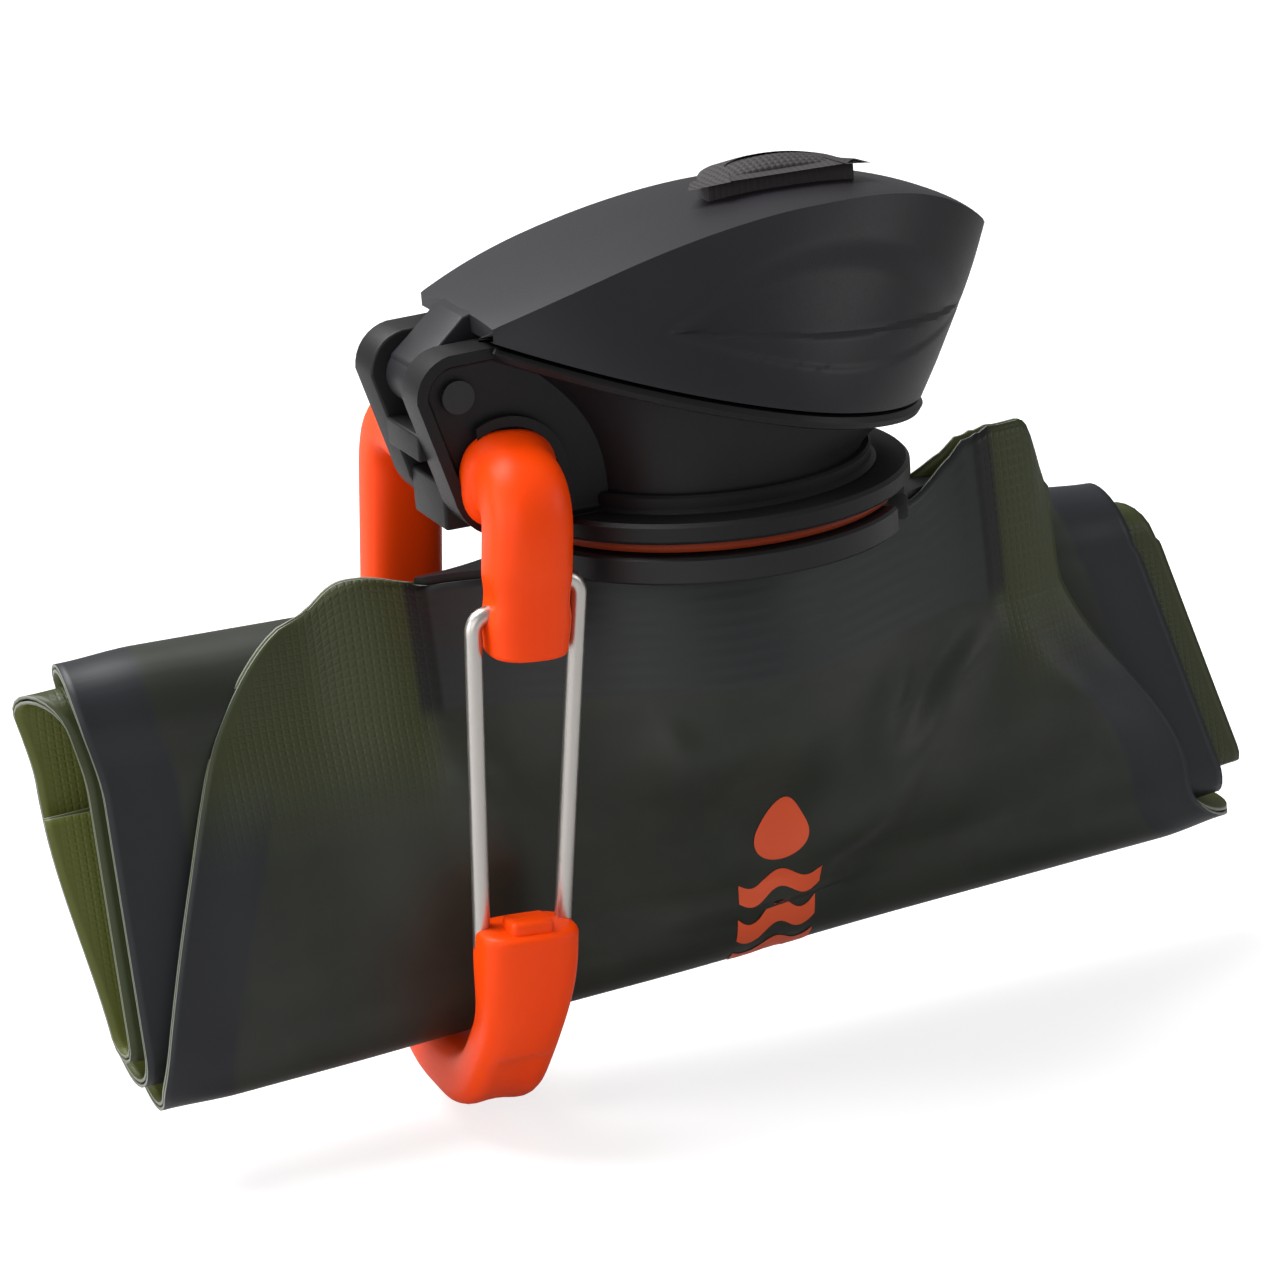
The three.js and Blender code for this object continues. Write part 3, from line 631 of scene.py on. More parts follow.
def smooth_copy(node: str, material: bpy.types.Material, body: Body, slot: Slot) -> bpy.types.Object:
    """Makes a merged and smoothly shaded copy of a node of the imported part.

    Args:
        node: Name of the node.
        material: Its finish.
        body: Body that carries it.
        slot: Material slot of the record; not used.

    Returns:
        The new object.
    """
    bm = bmesh.new()
    bm.from_mesh(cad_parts[node].data)
    bmesh.ops.scale(bm, vec=(1 / MM, 1 / MM, 1 / MM), verts=bm.verts)
    bmesh.ops.remove_doubles(bm, verts=bm.verts, dist=1e-4)
    return make_piece(node + "_smooth", bm, [material], body, slot, [node], sharp=28.0)


# ---- Pouch ----


@dataclass
class RolledPouch:
    """The two films of the pouch, welded over the fitment, down the flap and twice round the roll."""

    finishes: Finishes
    film: float = 0.35
    closed_offset: float = 0.3
    weld_offset: float = 0.75
    open_offset: float = 0.85
    weld_top: float = -7.8
    boat_bottom: float = -21.8
    boat_half_length: float = 34.5
    boat_half_thickness: float = 12.5
    roll_bottom: float = -61.2
    roll_top: float = -12.5
    roll_back: float = 16.0
    flap_lean: float = 1.0
    lane_pitch: float = 2.8
    roll_lean: float = 6.0
    taper_low: float = 5.0
    taper_high: float = 2.4
    ear_left: float = 47.0
    ear_right: float = 44.4
    flap_left_growth: float = 23.0
    flap_right_growth: float = 14.2
    roll_left: float = 69.2
    roll_right: float = 59.4
    roll_right_growth: float = 11.2
    first_turn_short: float = 4.4
    top_crown: float = 2.2
    flat_half_width: float = 75.5
    weld_depth: float = 14.0
    fold_steps: int = 20
    pleat_height: float = 1.7
    columns: int = 150
    rows: int = 270
    path: list = field(default_factory=list)

    def __post_init__(self) -> None:
        """Works out the path that the middle of the pouch follows."""
        self.path = self.walk()

    def walk(self) -> list[tuple[float, float, float, float, float, float]]:
        """Follows the middle of the pouch down the flap and round the roll.

        Returns:
            Samples of Y, Z, the two parts of the direction across the film, lane and length so far.
        """
        places = []
        outer = (self.roll_back - self.flap_lean) / 2
        low = self.roll_bottom + outer
        high = self.roll_top - (self.roll_back - self.flap_lean - self.lane_pitch) / 2

        def line(y: float, z0: float, z1: float, side: float, lane: float) -> None:
            """Follows a flat stretch at Y from height z0 to z1."""
            steps = max(2, round(abs(z1 - z0)))
            for i in range(steps):
                places.append((y, mix(z0, z1, i / steps), side, 0.0, lane))

        def fold(y0: float, y1: float, z: float, side: float, lane: float) -> None:
            """Follows a half turn from y0 to y1 round the height z."""
            radius = abs(y1 - y0) / 2
            for i in range(self.fold_steps):
                turn = math.pi * i / self.fold_steps
                ny, nz = -math.cos(turn) * side, -math.sin(turn) * side
                part = i / (2 * self.fold_steps)
                places.append(((y0 + y1) / 2 + radius * ny, z + radius * nz, ny, nz, lane + part))

        def front(lane: float) -> float:
            """Y of a lane on the flap's side."""
            return self.flap_lean + lane * self.lane_pitch

        def back(lane: float) -> float:
            """Y of a lane on the spine's side."""
            return self.roll_back - lane * self.lane_pitch

        line(front(0), self.weld_top, low, -1.0, 0)
        for lane in (0, 1):
            fold(front(lane), back(lane), low, 1, lane)
            line(back(lane), low, high, 1.0, lane + 0.5)
            fold(back(lane), front(lane + 1), high, -1, lane + 0.5)
            line(front(lane + 1), high, low, -1.0, lane + 1)
        fold(front(2), back(2), low, 1, 2)
        line(back(2), low, high - 9.0, 1.0, 2.5)
        path, gone = [], 0.0
        for i, (y, z, ny, nz, lane) in enumerate(places):
            if i:
                gone += math.hypot(y - places[i - 1][0], z - places[i - 1][1])
            path.append((y, z, ny, nz, lane, gone))
        return path

    def sample(self, length: float) -> tuple[float, float, float, float, float, float]:
        """Gives the path's values at a length along it."""
        path = self.path
        low, high = 0, len(path) - 1
        while high - low > 1:
            middle = (low + high) // 2
            if path[middle][5] <= length:
                low = middle
            else:
                high = middle
        a, b = path[low], path[high]
        t = clamp((length - a[5]) / (b[5] - a[5]))
        y, z, ny, nz, lane, gone = (mix(p, q, t) for p, q in zip(a, b))
        size = math.hypot(ny, nz)
        return y, z, ny / size, nz / size, lane, gone

    def edges(self, z: float, lane: float) -> tuple[float, float]:
        """Gives X of the left and right edge of the film at a height on a lane of the roll."""
        down = max(0.0, self.weld_top - z)
        flap_left = self.ear_left + self.flap_left_growth * (min(down, 50.0) / 50.0) ** 0.55
        flap_right = self.ear_right + self.flap_right_growth * smooth((down - 11.0) / 33.0)
        behind = math.sin(math.pi * lane) ** 2 * smooth((lane - 1.0) / 0.3)
        slip = 1.6 * min(1.0, lane) + smooth(lane - 1.0) + behind * mix(0.6, 4.6, smooth((z + 60.0) / 34.0))
        crown = self.top_crown * smooth((z + 26.0) / 14.0)
        roll_left = self.roll_left + slip + crown
        lean = (z - self.roll_top) / (self.roll_bottom - self.roll_top)
        short = self.first_turn_short * smooth(lane / 0.5) * smooth((2.0 - lane) / 0.6)
        roll_right = self.roll_right + self.roll_right_growth * clamp(lean) - short
        share = smooth(lane / 0.3)
        return -mix(flap_left, roll_left, share), mix(flap_right, roll_right, share)

    def boat_half(self, x: float) -> float:
        """Gives half the thickness of the fitment's boat at X, without its tips' thickness."""
        if abs(x) >= self.boat_half_length:
            return 0.0
        return self.boat_half_thickness * math.cos(math.pi * x / (2 * self.boat_half_length)) ** 2

    def wrinkle(self, x: float, length: float, lane: float) -> float:
        """Gives how far the film stands out of its plane: pleats from the boat's corners and soft dents."""
        size = mix(2.6, 0.22, smooth(lane / 0.2))
        down = length - self.weld_depth
        hold = smooth(down / 14.0) if lane == 0 else 1.0
        dent = noise.noise(Vector((x / 21.0, length / 15.0, 2.4))) * size * hold
        if lane > 0 or down < 0:
            return dent
        pleats = 0.0
        for tip, turn in ((-34.5, 0.35), (34.5, -0.9), (20.0, -0.35), (-12.0, 0.2)):
            run = x - tip - turn * down
            width = 2.2 + 0.16 * down
            reach = smooth(down / 8.0) * smooth((38.0 - down) / 16.0)
            pleats += self.pleat_height * math.exp(-((run / width) ** 2)) * reach
        return dent + pleats

    def rise(self, x: float, length: float) -> float:
        """Gives how far the corners of the film stand up past the boat's tips."""
        share = max(0.0, 1 - length / 15.0)
        reach = abs(x) - self.boat_half_length
        if x < 0:
            return share * (1.8 * smooth((reach + 2) / 8) - 3.4 * smooth((reach - 6) / 7) ** 2)
        ragged = smooth((reach + 6) / 3) * smooth((3 - reach) / 3)
        torn = 0.5 * noise.noise(Vector((x / 1.1, 3.0, 0.5))) * ragged
        return share * (5.9 * smooth((reach + 11) / 12) - 9.0 * smooth((reach - 5.5) / 4.4) ** 1.6 + torn)

    def point(self, panel: Panel, x: float, length: float, lift: float = 0.0) -> Vector:
        """Gives a place on one film.

        Args:
            panel: Which film.
            x: Place along the roll in millimetres.
            length: Length from the weld's top edge along the film.
            lift: Distance out from the film.

        Returns:
            The place in millimetres.
        """
        y, z, ny, nz, lane, _ = self.sample(length)
        left, right = self.edges(z, lane)
        inner = smooth(min(x - left, right - x) / 9.0)
        weld = smooth((length - self.weld_depth) / 8.0)
        over_boat = smooth((self.boat_half_length + 1.5 - abs(x)) / 2.0) * (1 - weld)
        gap = mix(self.closed_offset, self.open_offset, inner * weld)
        gap = mix(gap, self.weld_offset, over_boat)
        off = -panel.value * (gap + lift)
        fade = clamp((z - self.roll_bottom - 11.0) / (self.boat_bottom - self.roll_bottom - 11.0))
        spread = self.boat_half(x) * fade
        flap_front = lane == 0 and panel is Panel.FRONT
        bend = self.wrinkle(x, length, lane) * (1.0 if lane > 0 or flap_front else 0.0) * inner
        swell = 3.0 * math.sin(math.pi * clamp(length / 44.0)) * smooth((60.0 - abs(x)) / 24.0)
        push = -spread - swell - bend if flap_front else spread
        if lane > 0:
            off += bend
        below = (self.boat_bottom - z) / (self.boat_bottom - self.roll_bottom)
        lean = -self.roll_lean * min(1.1, max(0.0, below))
        share = (x + 68.5) / 129.0
        low = clamp((self.boat_bottom - z) / 31.9)
        high = clamp((z - self.boat_bottom) / 3.2)
        taper = self.taper_low * share * low - (self.taper_high * share * high if lane > 0 else 0.0)
        up = self.rise(x, length) if lane == 0 else 0.0
        curl = 2.2 * smooth((abs(x) - 36.0) / 12.0) * smooth((30.0 - length) / 22.0) if lane == 0 else 0.0
        return Vector((x, y + off * ny + push + lean + curl, z + off * nz + up + taper))

    def sheet(self, panel: Panel, nodes: Sequence[str]) -> bpy.types.Object:
        """Makes one film as a sheet with a wall.

        Args:
            panel: Which film.
            nodes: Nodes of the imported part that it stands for.

        Returns:
            The new piece.
        """
        bm = bmesh.new()
        layers = {name: bm.verts.layers.float.new(name) for name in ("edge_mm", "along_mm", "across_mm")}
        total = self.path[-1][5]
        made = bmesh.ops.create_grid(bm, x_segments=self.columns, y_segments=self.rows, size=0.5)
        for vert in made["verts"]:
            u, length = vert.co.x + 0.5, (0.5 - vert.co.y) * total
            _, z, _, _, lane, _ = self.sample(length)
            left, right = self.edges(z, lane)
            x = mix(left, right, u)
            vert[layers["edge_mm"]] = min(x - left, right - x)
            vert[layers["along_mm"]] = length
            vert[layers["across_mm"]] = x
            vert.co = self.point(panel, x, length)
        if panel is Panel.BACK:
            bmesh.ops.reverse_faces(bm, faces=bm.faces)
        area = sum(face.calc_area() for face in bm.faces) * MM * MM
        # the back film and the liner wear yellow-green painted as light shining through the film from behind
        outside = self.finishes.film if panel is Panel.FRONT else self.finishes.back_film
        inks = [outside, self.finishes.liner, self.finishes.cut_edge]
        piece = make_piece(nodes[0] + "_film", bm, inks, Body.BOTTLE, Slot.FILM, nodes)
        wall = piece.modifiers.new("wall", "SOLIDIFY")
        wall.thickness = self.film * MM
        wall.offset = 0.0
        wall.material_offset = 1
        wall.material_offset_rim = 2
        return piece

    def build(self) -> None:
        """Makes the pouch."""
        self.sheet(Panel.FRONT, ["pouch_front_panel"])
        self.sheet(Panel.BACK, ["pouch_back_panel", "pouch_bottom_gusset"])


@dataclass
class PrintedMark:
    """The mark screened on the flap: a drop over three waves."""

    finishes: Finishes
    pouch: RolledPouch
    x: float = 3.0
    drop_start: float = 33.0
    drop_middle: float = 3.4
    drop_radius: float = 3.3
    drop_stretch: float = 0.75
    wave_start: float = 9.0
    wave_pitch: float = 4.6
    wave_half_width: float = 5.2
    wave_depth: float = 2.5
    wave_height: float = 0.9
    waves: int = 3
    ink_gap: float = 0.09

    def spot(self, across: float, length: float) -> Vector:
        """Gives a place on the flap, just off the film."""
        return self.pouch.point(Panel.FRONT, self.x + across, length, self.pouch.film / 2 + self.ink_gap)

    def wave(self, row: int) -> Place:
        """Gives the place function of one wave."""
        start = self.drop_start + self.wave_start + row * self.wave_pitch

        def place(u: float, v: float) -> Vector:
            """Gives a place on the wave at share u of its width and v of its depth."""
            crest = self.wave_height * math.sin(2 * math.pi * u * 1.5)
            return self.spot(mix(-self.wave_half_width, self.wave_half_width, u),
                             start + crest + self.wave_depth * v)

        return place

    def drop(self, u: float, v: float) -> Vector:
        """Gives a place on the drop at share u of the way round and v of its radius."""
        turn = 2 * math.pi * u
        radius = self.drop_radius * v
        stretch = 1.0 + self.drop_stretch * max(0.0, math.cos(turn)) ** 3
        return self.spot(radius * math.sin(turn),
                         self.drop_start + self.drop_middle - radius * math.cos(turn) * stretch)

    def build(self) -> None:
        """Makes the mark."""
        bm = bmesh.new()
        for row in range(self.waves):
            bent_grid(bm, 40, 6, self.wave(row), flip=True)
        bent_grid(bm, 48, 8, self.drop, flip=True)
        make_piece("pouch_printed_mark", bm, [self.finishes.ink], Body.BOTTLE, Slot.FILM)


@dataclass
class SpoutFitment:
    """The moulding that the films are welded to: the boat, the neck and the collar with its notches."""

    finishes: Finishes
    pouch: RolledPouch
    edge_half: float = 0.4
    collar: float = 22.4
    collar_low: float = -6.9
    collar_high: float = -3.9
    collar_depth: float = 2.2
    corner: float = 0.3
    neck: float = 15.0
    neck_bore: float = 11.4
    neck_top: float = 1.9
    notch_width: float = 5.0
    notches: tuple[float, float] = (math.radians(-38.0), math.radians(142.0))

    def boat_point(self, u: float, v: float) -> Vector:
        """Gives a place on the boat, round its section from the lower front edge."""
        pouch = self.pouch
        x = mix(-pouch.boat_half_length, pouch.boat_half_length, u)
        half = 0.0 if u in (0.0, 1.0) else pouch.boat_half(x) + self.edge_half
        side, up = along_corners(((-1, 0), (-1, 1), (1, 1), (1, 0), (-1, 0)), v)
        return Vector((x, pouch.flap_lean + side * half, mix(pouch.boat_bottom, self.collar_low, up)))

    def build(self) -> None:
        """Makes the fitment."""
        bm = bmesh.new()
        bent_grid(bm, 80, 16, self.boat_point)
        bmesh.ops.recalc_face_normals(bm, faces=bm.faces)
        low, high, rim, corner = self.collar_low, self.collar_high, self.collar, self.corner
        notch = self.notch_width / rim
        for middle in self.notches:
            arc = bmesh.new()
            section = [(rim - self.collar_depth, low), (rim - corner, low), (rim, low + corner),
                       (rim, high - corner), (rim - corner, high), (rim - self.collar_depth, high)]
            add_turned(arc, section, steps=60, start=middle + notch / 2, sweep=math.pi - notch)
            join_mesh(bm, arc)
        inside = rim - self.collar_depth + 0.2
        neck = bmesh.new()
        add_turned(neck, [(self.neck_bore, low - 1.0), (inside, low), (inside, high), (self.neck, high),
                          (self.neck, self.neck_top - corner), (self.neck - 0.5, self.neck_top),
                          (self.neck_bore, self.neck_top)])
        join_mesh(bm, neck)
        make_piece("spout_fitment_moulding", bm, [self.finishes.fitment], Body.BOTTLE, Slot.FITMENT,
                   ["spout_fitment"])


# ---- Lid and cap outlines ----


@dataclass
class CapOutline:
    """The leaf-shaped outline that the lid and the cap's rim share."""

    rear: float = -27.3
    nose_low: float = 26.4
    nose_high: float = 36.2
    part_rear: float = 20.4
    part_nose: float = 5.2
    part_sag: float = 1.9
    crest_rear: float = 22.4
    crest_top: float = 30.2
    crest_nose: float = 22.5
    crest_x: float = 9.0
    rear_half: float = 11.0
    belly_half: float = 19.8
    belly_x: float = 3.0
    top_half: float = 13.4
    top_x: float = -14.0

    def part(self, x: float) -> float:
        """Gives the height of the parting line at X."""
        t = (min(x, self.nose_low) - self.rear) / (self.nose_low - self.rear)
        return mix(self.part_rear, self.part_nose, t) - self.part_sag * 4 * t * (1 - t)

    def crest(self, x: float) -> float:
        """Gives the height of the lid's top at X."""
        if x < self.crest_x:
            t = (self.crest_x - x) / (self.crest_x - self.rear)
            return mix(self.crest_top, self.crest_rear, t**1.75)
        t = (x - self.crest_x) / (self.nose_high - self.crest_x)
        return mix(self.crest_top, self.crest_nose, t**3)

    def half(self, x: float, belly: float, belly_x: float, nose: float, sharp: float) -> float:
        """Gives half the width of a leaf outline at X.

        Args:
            x: Place along the leaf.
            belly: Greatest half width.
            belly_x: X of the greatest width.
            nose: X of the tip.
            sharp: How square the nose is.

        Returns:
            Half the width in millimetres.
        """
        if x <= belly_x:
            return mix(belly, self.rear_half, ((belly_x - x) / (belly_x - self.rear)) ** 2)
        t = min(1.0, (x - belly_x) / (nose - belly_x))
        return belly * max(0.0, 1 - t**sharp) ** 0.62

    def low_half(self, x: float, nose: float) -> float:
        """Gives half the width at the parting line."""
        return self.half(x, self.belly_half, self.belly_x, nose, 1.9)

    def high_half(self, x: float, nose: float) -> float:
        """Gives half the width of the top face."""
        return self.half(x, self.top_half, self.top_x, nose, 2.4)


@dataclass
class FlipLid:
    """The flip-top lid: shell with a sunk lens in each side, tongue, knuckle, thumb tab and plug."""

    finishes: Finishes
    outline: CapOutline = field(default_factory=CapOutline)
    wall: float = 1.6
    side_share: float = 0.42
    rear_share: float = 0.03
    pin_x: float = -31.2
    pin_z: float = 15.0
    knuckle: float = 3.2
    tongue_half: float = 4.3
    nose_bulge: float = 1.4
    edge_drop: float = 0.5
    lens_rear: float = -11.0
    lens_length: float = 43.0
    lower_crease: float = 0.25
    upper_crease: float = 0.6
    tab_x: float = 10.6
    tab_half: float = 8.7
    tab_front: float = -2.3
    tab_depth: float = 8.0
    tab_wall: float = 2.0
    tab_crown: float = 1.2

    def relief(self, x: float, w: float) -> float:
        """Gives how deep the side is sunk: a lens with two creases under it.

        Args:
            x: Place along the lid.
            w: Share of the side's height, from the parting line up.

        Returns:
            Depth in millimetres.
        """
        t = (x - self.lens_rear) / self.lens_length
        if not 0 < t < 1:
            return 0.0
        arch = 4 * t * (1 - t)
        first, second = 0.44 - 0.23 * arch, 0.44 - 0.07 * arch
        top = 0.46 + 0.4 * arch**0.8
        under_top = smooth((top - w) / 0.2)
        steps = self.lower_crease * smooth((w - first) / 0.025)
        steps += self.upper_crease * smooth((w - second) / 0.03)
        return steps * under_top * smooth(arch * 5)

    def skin(self, u: float, v: float) -> Vector:
        """Gives a place on the lid's outside: rear wall, one side, the top face and the other side."""
        out = self.outline
        along = max(0.0, (u - self.rear_share) / (1 - self.rear_share))
        side = min(v, 1 - v) / self.side_share
        w = min(1.0, side)
        nose = mix(out.nose_low, out.nose_high, w)
        nose += self.nose_bulge * math.sin(math.pi * w)
        x = mix(out.rear, nose, 1 - (1 - along) ** 1.5)
        low, high = out.low_half(x, nose), out.high_half(x, nose)
        half = mix(low, high, w**1.5)
        bottom, top = out.part(x), out.crest(x)
        edge = top - self.edge_drop
        z = mix(bottom, edge, w)
        if side < 1:
            y = half - self.relief(x, w)
        else:
            cross = (v - 0.5) / (0.5 - self.side_share)
            y = half * abs(cross)
            z = mix(top, edge, abs(cross) ** 2.5)
        if u < self.rear_share:
            z = mix(bottom, z, u / self.rear_share)
        return Vector((x, -y if v < 0.5 else y, z))

    def shell(self) -> None:
        """Makes the shell with its tongue and knuckle."""
        bm = bmesh.new()
        bent_grid(bm, 170, 150, self.skin)
        bmesh.ops.recalc_face_normals(bm, faces=bm.faces)
        near_top = self.outline.crest_top - 2.2
        inward = sum(face.normal.z for face in bm.faces if face.calc_center_median().z > near_top) < 0
        if inward:
            bmesh.ops.reverse_faces(bm, faces=bm.faces)
        bmesh.ops.solidify(bm, geom=bm.faces[:] + bm.edges[:] + bm.verts[:], thickness=self.wall)
        out = self.outline
        tongue = [(out.rear + 1.4, out.crest_rear - 2.4), (out.rear + 1.4, out.crest(out.rear + 1.4) - 0.15),
                  (out.rear - 0.8, out.crest_rear - 0.25), (out.rear - 2.2, out.crest_rear - 1.5),
                  (self.pin_x - 0.2, self.pin_z + self.knuckle + 1.0),
                  (self.pin_x - 2.4, self.pin_z + 2.4), (self.pin_x - 2.9, self.pin_z + 0.4),
                  (self.pin_x, self.pin_z - 0.4), (self.pin_x + 2.8, self.pin_z + 0.4)]
        add_plate(bm, tongue, -self.tongue_half, self.tongue_half, bevel=0.3)
        add_rod(bm, self.knuckle, -self.tongue_half, self.tongue_half, self.pin_x, self.pin_z)
        make_piece("lid_shell_moulding", bm, [self.finishes.shell], Body.LID, Slot.SHELL, ["lid_shell"],
                   sharp=24.0)

    def tab(self) -> None:
        """Makes the raised thumb tab: a half disc with its straight side to the front."""
        bm = bmesh.new()
        disc = bmesh.ops.create_circle(bm, cap_ends=True, cap_tris=False, radius=1.0, segments=72)
        for vert in disc["verts"]:
            deep = max(0.0, vert.co.y) ** 0.55
            x, y = self.tab_x + vert.co.x * self.tab_half, self.tab_front + deep * self.tab_depth
            vert.co = Vector((x, y, 0))
        bmesh.ops.remove_doubles(bm, verts=bm.verts, dist=0.02)
        face = bm.faces[:][0]
        grown = bmesh.ops.extrude_face_region(bm, geom=[face], use_keep_orig=True)
        raised = [item for item in grown["geom"] if isinstance(item, bmesh.types.BMVert)]
        bmesh.ops.translate(bm, verts=raised, vec=(0, 0, self.tab_wall))
        top = [item for item in grown["geom"] if isinstance(item, bmesh.types.BMFace)]
        rims = once(edge for item in top for edge in item.edges)
        round_edges(bm, rims, 0.35)
        bmesh.ops.recalc_face_normals(bm, faces=bm.faces)
        top = [f for f in bm.faces if f.normal.z > 0.99 and f.calc_center_median().z > self.tab_wall / 2]
        for _ in range(6):
            bmesh.ops.inset_region(bm, faces=top, thickness=0.55, depth=0.0)
        for vert in bm.verts:
            across = clamp((vert.co.x - self.tab_x) / (2 * self.tab_half) + 0.5)
            deep = clamp((vert.co.y - self.tab_front) / self.tab_depth)
            crown = self.tab_crown * math.sin(math.pi * across)
            crown *= math.sin(math.pi * min(1.0, deep * 0.9 + 0.1))
            share = clamp(vert.co.z / self.tab_wall)
            vert.co.z += self.outline.crest(vert.co.x) - 0.1 + crown * share
        make_piece("thumb_tab_pad", bm, [self.finishes.tab], Body.LID, Slot.TAB, ["thumb_tab"])

    def build(self) -> None:
        """Makes the lid."""
        self.shell()
        self.tab()
        smooth_copy("lid_plug", self.finishes.silicone, Body.LID, Slot.SILICONE)


@dataclass
class ScrewCap:
    """The screw cap: flange, flared bowl with its rim, deck, and the hinge bracket with its eye."""

    finishes: Finishes
    outline: CapOutline = field(default_factory=CapOutline)
    flange: float = 22.9
    flange_thickness: float = 2.3
    foot: float = 18.7
    foot_height: float = 1.9
    waist: float = 17.6
    wall: float = 1.8
    clearance: float = 0.3
    lip_depth: float = 1.7
    lip_overhang: float = 2.2
    deck: tuple[float, float] = (2.3, 4.2)
    neck_room: float = 15.6
    spout_x: float = 1.0
    spout_hole: float = 5.6
    pin_x: float = -31.2
    pin_z: float = 15.0
    cheek: tuple[float, float] = (4.7, 10.0)
    cheek_round: float = 4.7
    eye_x: float = -26.5
    eye_z: float = 5.4
    eye_boss: float = 6.4
    cheek_front: float = -13.0
    rear_run: float = 0.1
    latch: Sequence[tuple[float, float, float]] = ((17.6, -3.0, 1.4), (22.6, 3.0, 3.4))

    def way(self, u: float) -> tuple[float, float]:
        """Gives the side of the rim and how far along it share u of the way round is."""
        whole = 2 * (1 + self.rear_run)
        turn = u * whole
        return (-1.0, turn) if turn < 1 + self.rear_run else (1.0, whole - turn)

    def loop(self, u: float, inset: float) -> tuple[float, float]:
        """Gives X and Y of the rim at share u of its way round, drawn in by inset."""
        out = self.outline
        side, run = self.way(u)
        nose = out.nose_low - inset
        if run < self.rear_run:
            half = out.low_half(out.rear, nose) - inset
            return out.rear + inset, side * half * run / self.rear_run
        along = 1 - (1 - (run - self.rear_run)) ** 1.5
        x = mix(out.rear + inset, nose, along)
        return x, side * max(0.0, out.low_half(x, nose) - inset * (1 - along))

    def bowl_point(self, u: float, w: float) -> Vector:
        """Gives a place on the bowl between the round waist and the leaf-shaped rim."""
        x, y = self.loop(u, self.lip_overhang)
        side, run = self.way(u)
        angle = math.pi * (1 - max(0.0, run - self.rear_run))
        foot = (self.waist * math.cos(angle), side * self.waist * math.sin(angle))
        flare = w**1.8
        z = mix(self.foot_height - 0.5, self.outline.part(x) - self.clearance - 0.5, w)
        return Vector((mix(foot[0], x, flare), mix(foot[1], y, flare), z))

    def lip_point(self, u: float, v: float) -> Vector:
        """Gives a place on the rim's lip, whose section is a rounded bar."""
        corners = ((0.5, 1.0), (0.12, 0.88), (0.0, 0.5), (0.12, 0.12), (0.5, 0.0), (0.95, 0.1), (1.0, 0.5),
                   (0.95, 0.95), (0.5, 1.0))
        inward, up = along_corners(corners, v)
        x, y = self.loop(u, inward * (self.lip_overhang + self.wall))
        return Vector((x, y, self.outline.part(x) - self.clearance - self.lip_depth * (1 - up)))

    def bracket(self, bm: bmesh.types.BMesh) -> None:
        """Adds the two cheeks with their sunk panels, the web between them and the ring round the eye."""
        out = self.outline
        top = [(self.cheek_front, out.part(self.cheek_front) - self.clearance - self.lip_depth + 0.6),
               (out.rear + 0.6, self.pin_z + self.cheek_round + 0.1)]
        hinge = [(self.pin_x + self.cheek_round * math.cos(a), self.pin_z + self.cheek_round * math.sin(a))
                 for a in (math.pi * (0.55 + 0.45 * i / 8) for i in range(9))]
        eye = [(self.eye_x + self.eye_boss * math.cos(a), self.eye_z + self.eye_boss * math.sin(a))
               for a in (math.pi * (1.05 + 0.45 * i / 8) for i in range(9))]
        outline = [*top, *hinge, *eye, (self.cheek_front, self.eye_z - self.eye_boss)]
        for side in (-1.0, 1.0):
            inner, outer = self.cheek
            add_plate(bm, outline, side * outer, side * inner, bevel=0.35, panel=1.2, sunk=0.9)
            ring = [(self.eye_boss + 0.4, 0.0), (self.eye_boss + 0.4, 0.8), (self.eye_boss - 0.7, 0.8),
                    (self.eye_boss - 0.7, 0.0)]
            part = bmesh.new()
            add_turned(part, ring, steps=64)
            where = Matrix.Translation((self.eye_x, side * (outer - 0.75), self.eye_z))
            where @= Matrix.Rotation(-side * math.pi / 2, 4, "X")
            bmesh.ops.transform(part, matrix=where, verts=part.verts)
            for place, way in (((self.eye_x - self.eye_boss / 2, 0, 0), (-1, 0, 0)),
                               ((0, 0, self.eye_z), (0, 0, -1))):
                whole = part.verts[:] + part.edges[:] + part.faces[:]
                bmesh.ops.bisect_plane(part, geom=whole, plane_co=place, plane_no=way, clear_outer=True)
            join_mesh(bm, part)
        inner = self.cheek[0] + 0.3
        add_block(bm, (self.pin_x - 3.4, -inner, 7.4), (self.pin_x + 8.0, inner, 10.4), 0.3)
        add_block(bm, (self.eye_x - self.eye_boss + 0.6, -inner, -0.6), (self.eye_x + 9.0, inner, 4.6), 0.4)
        add_block(bm, (self.pin_x + 4.6, -inner, 1.0), (self.pin_x + 7.0, inner, 18.0), 0.3)

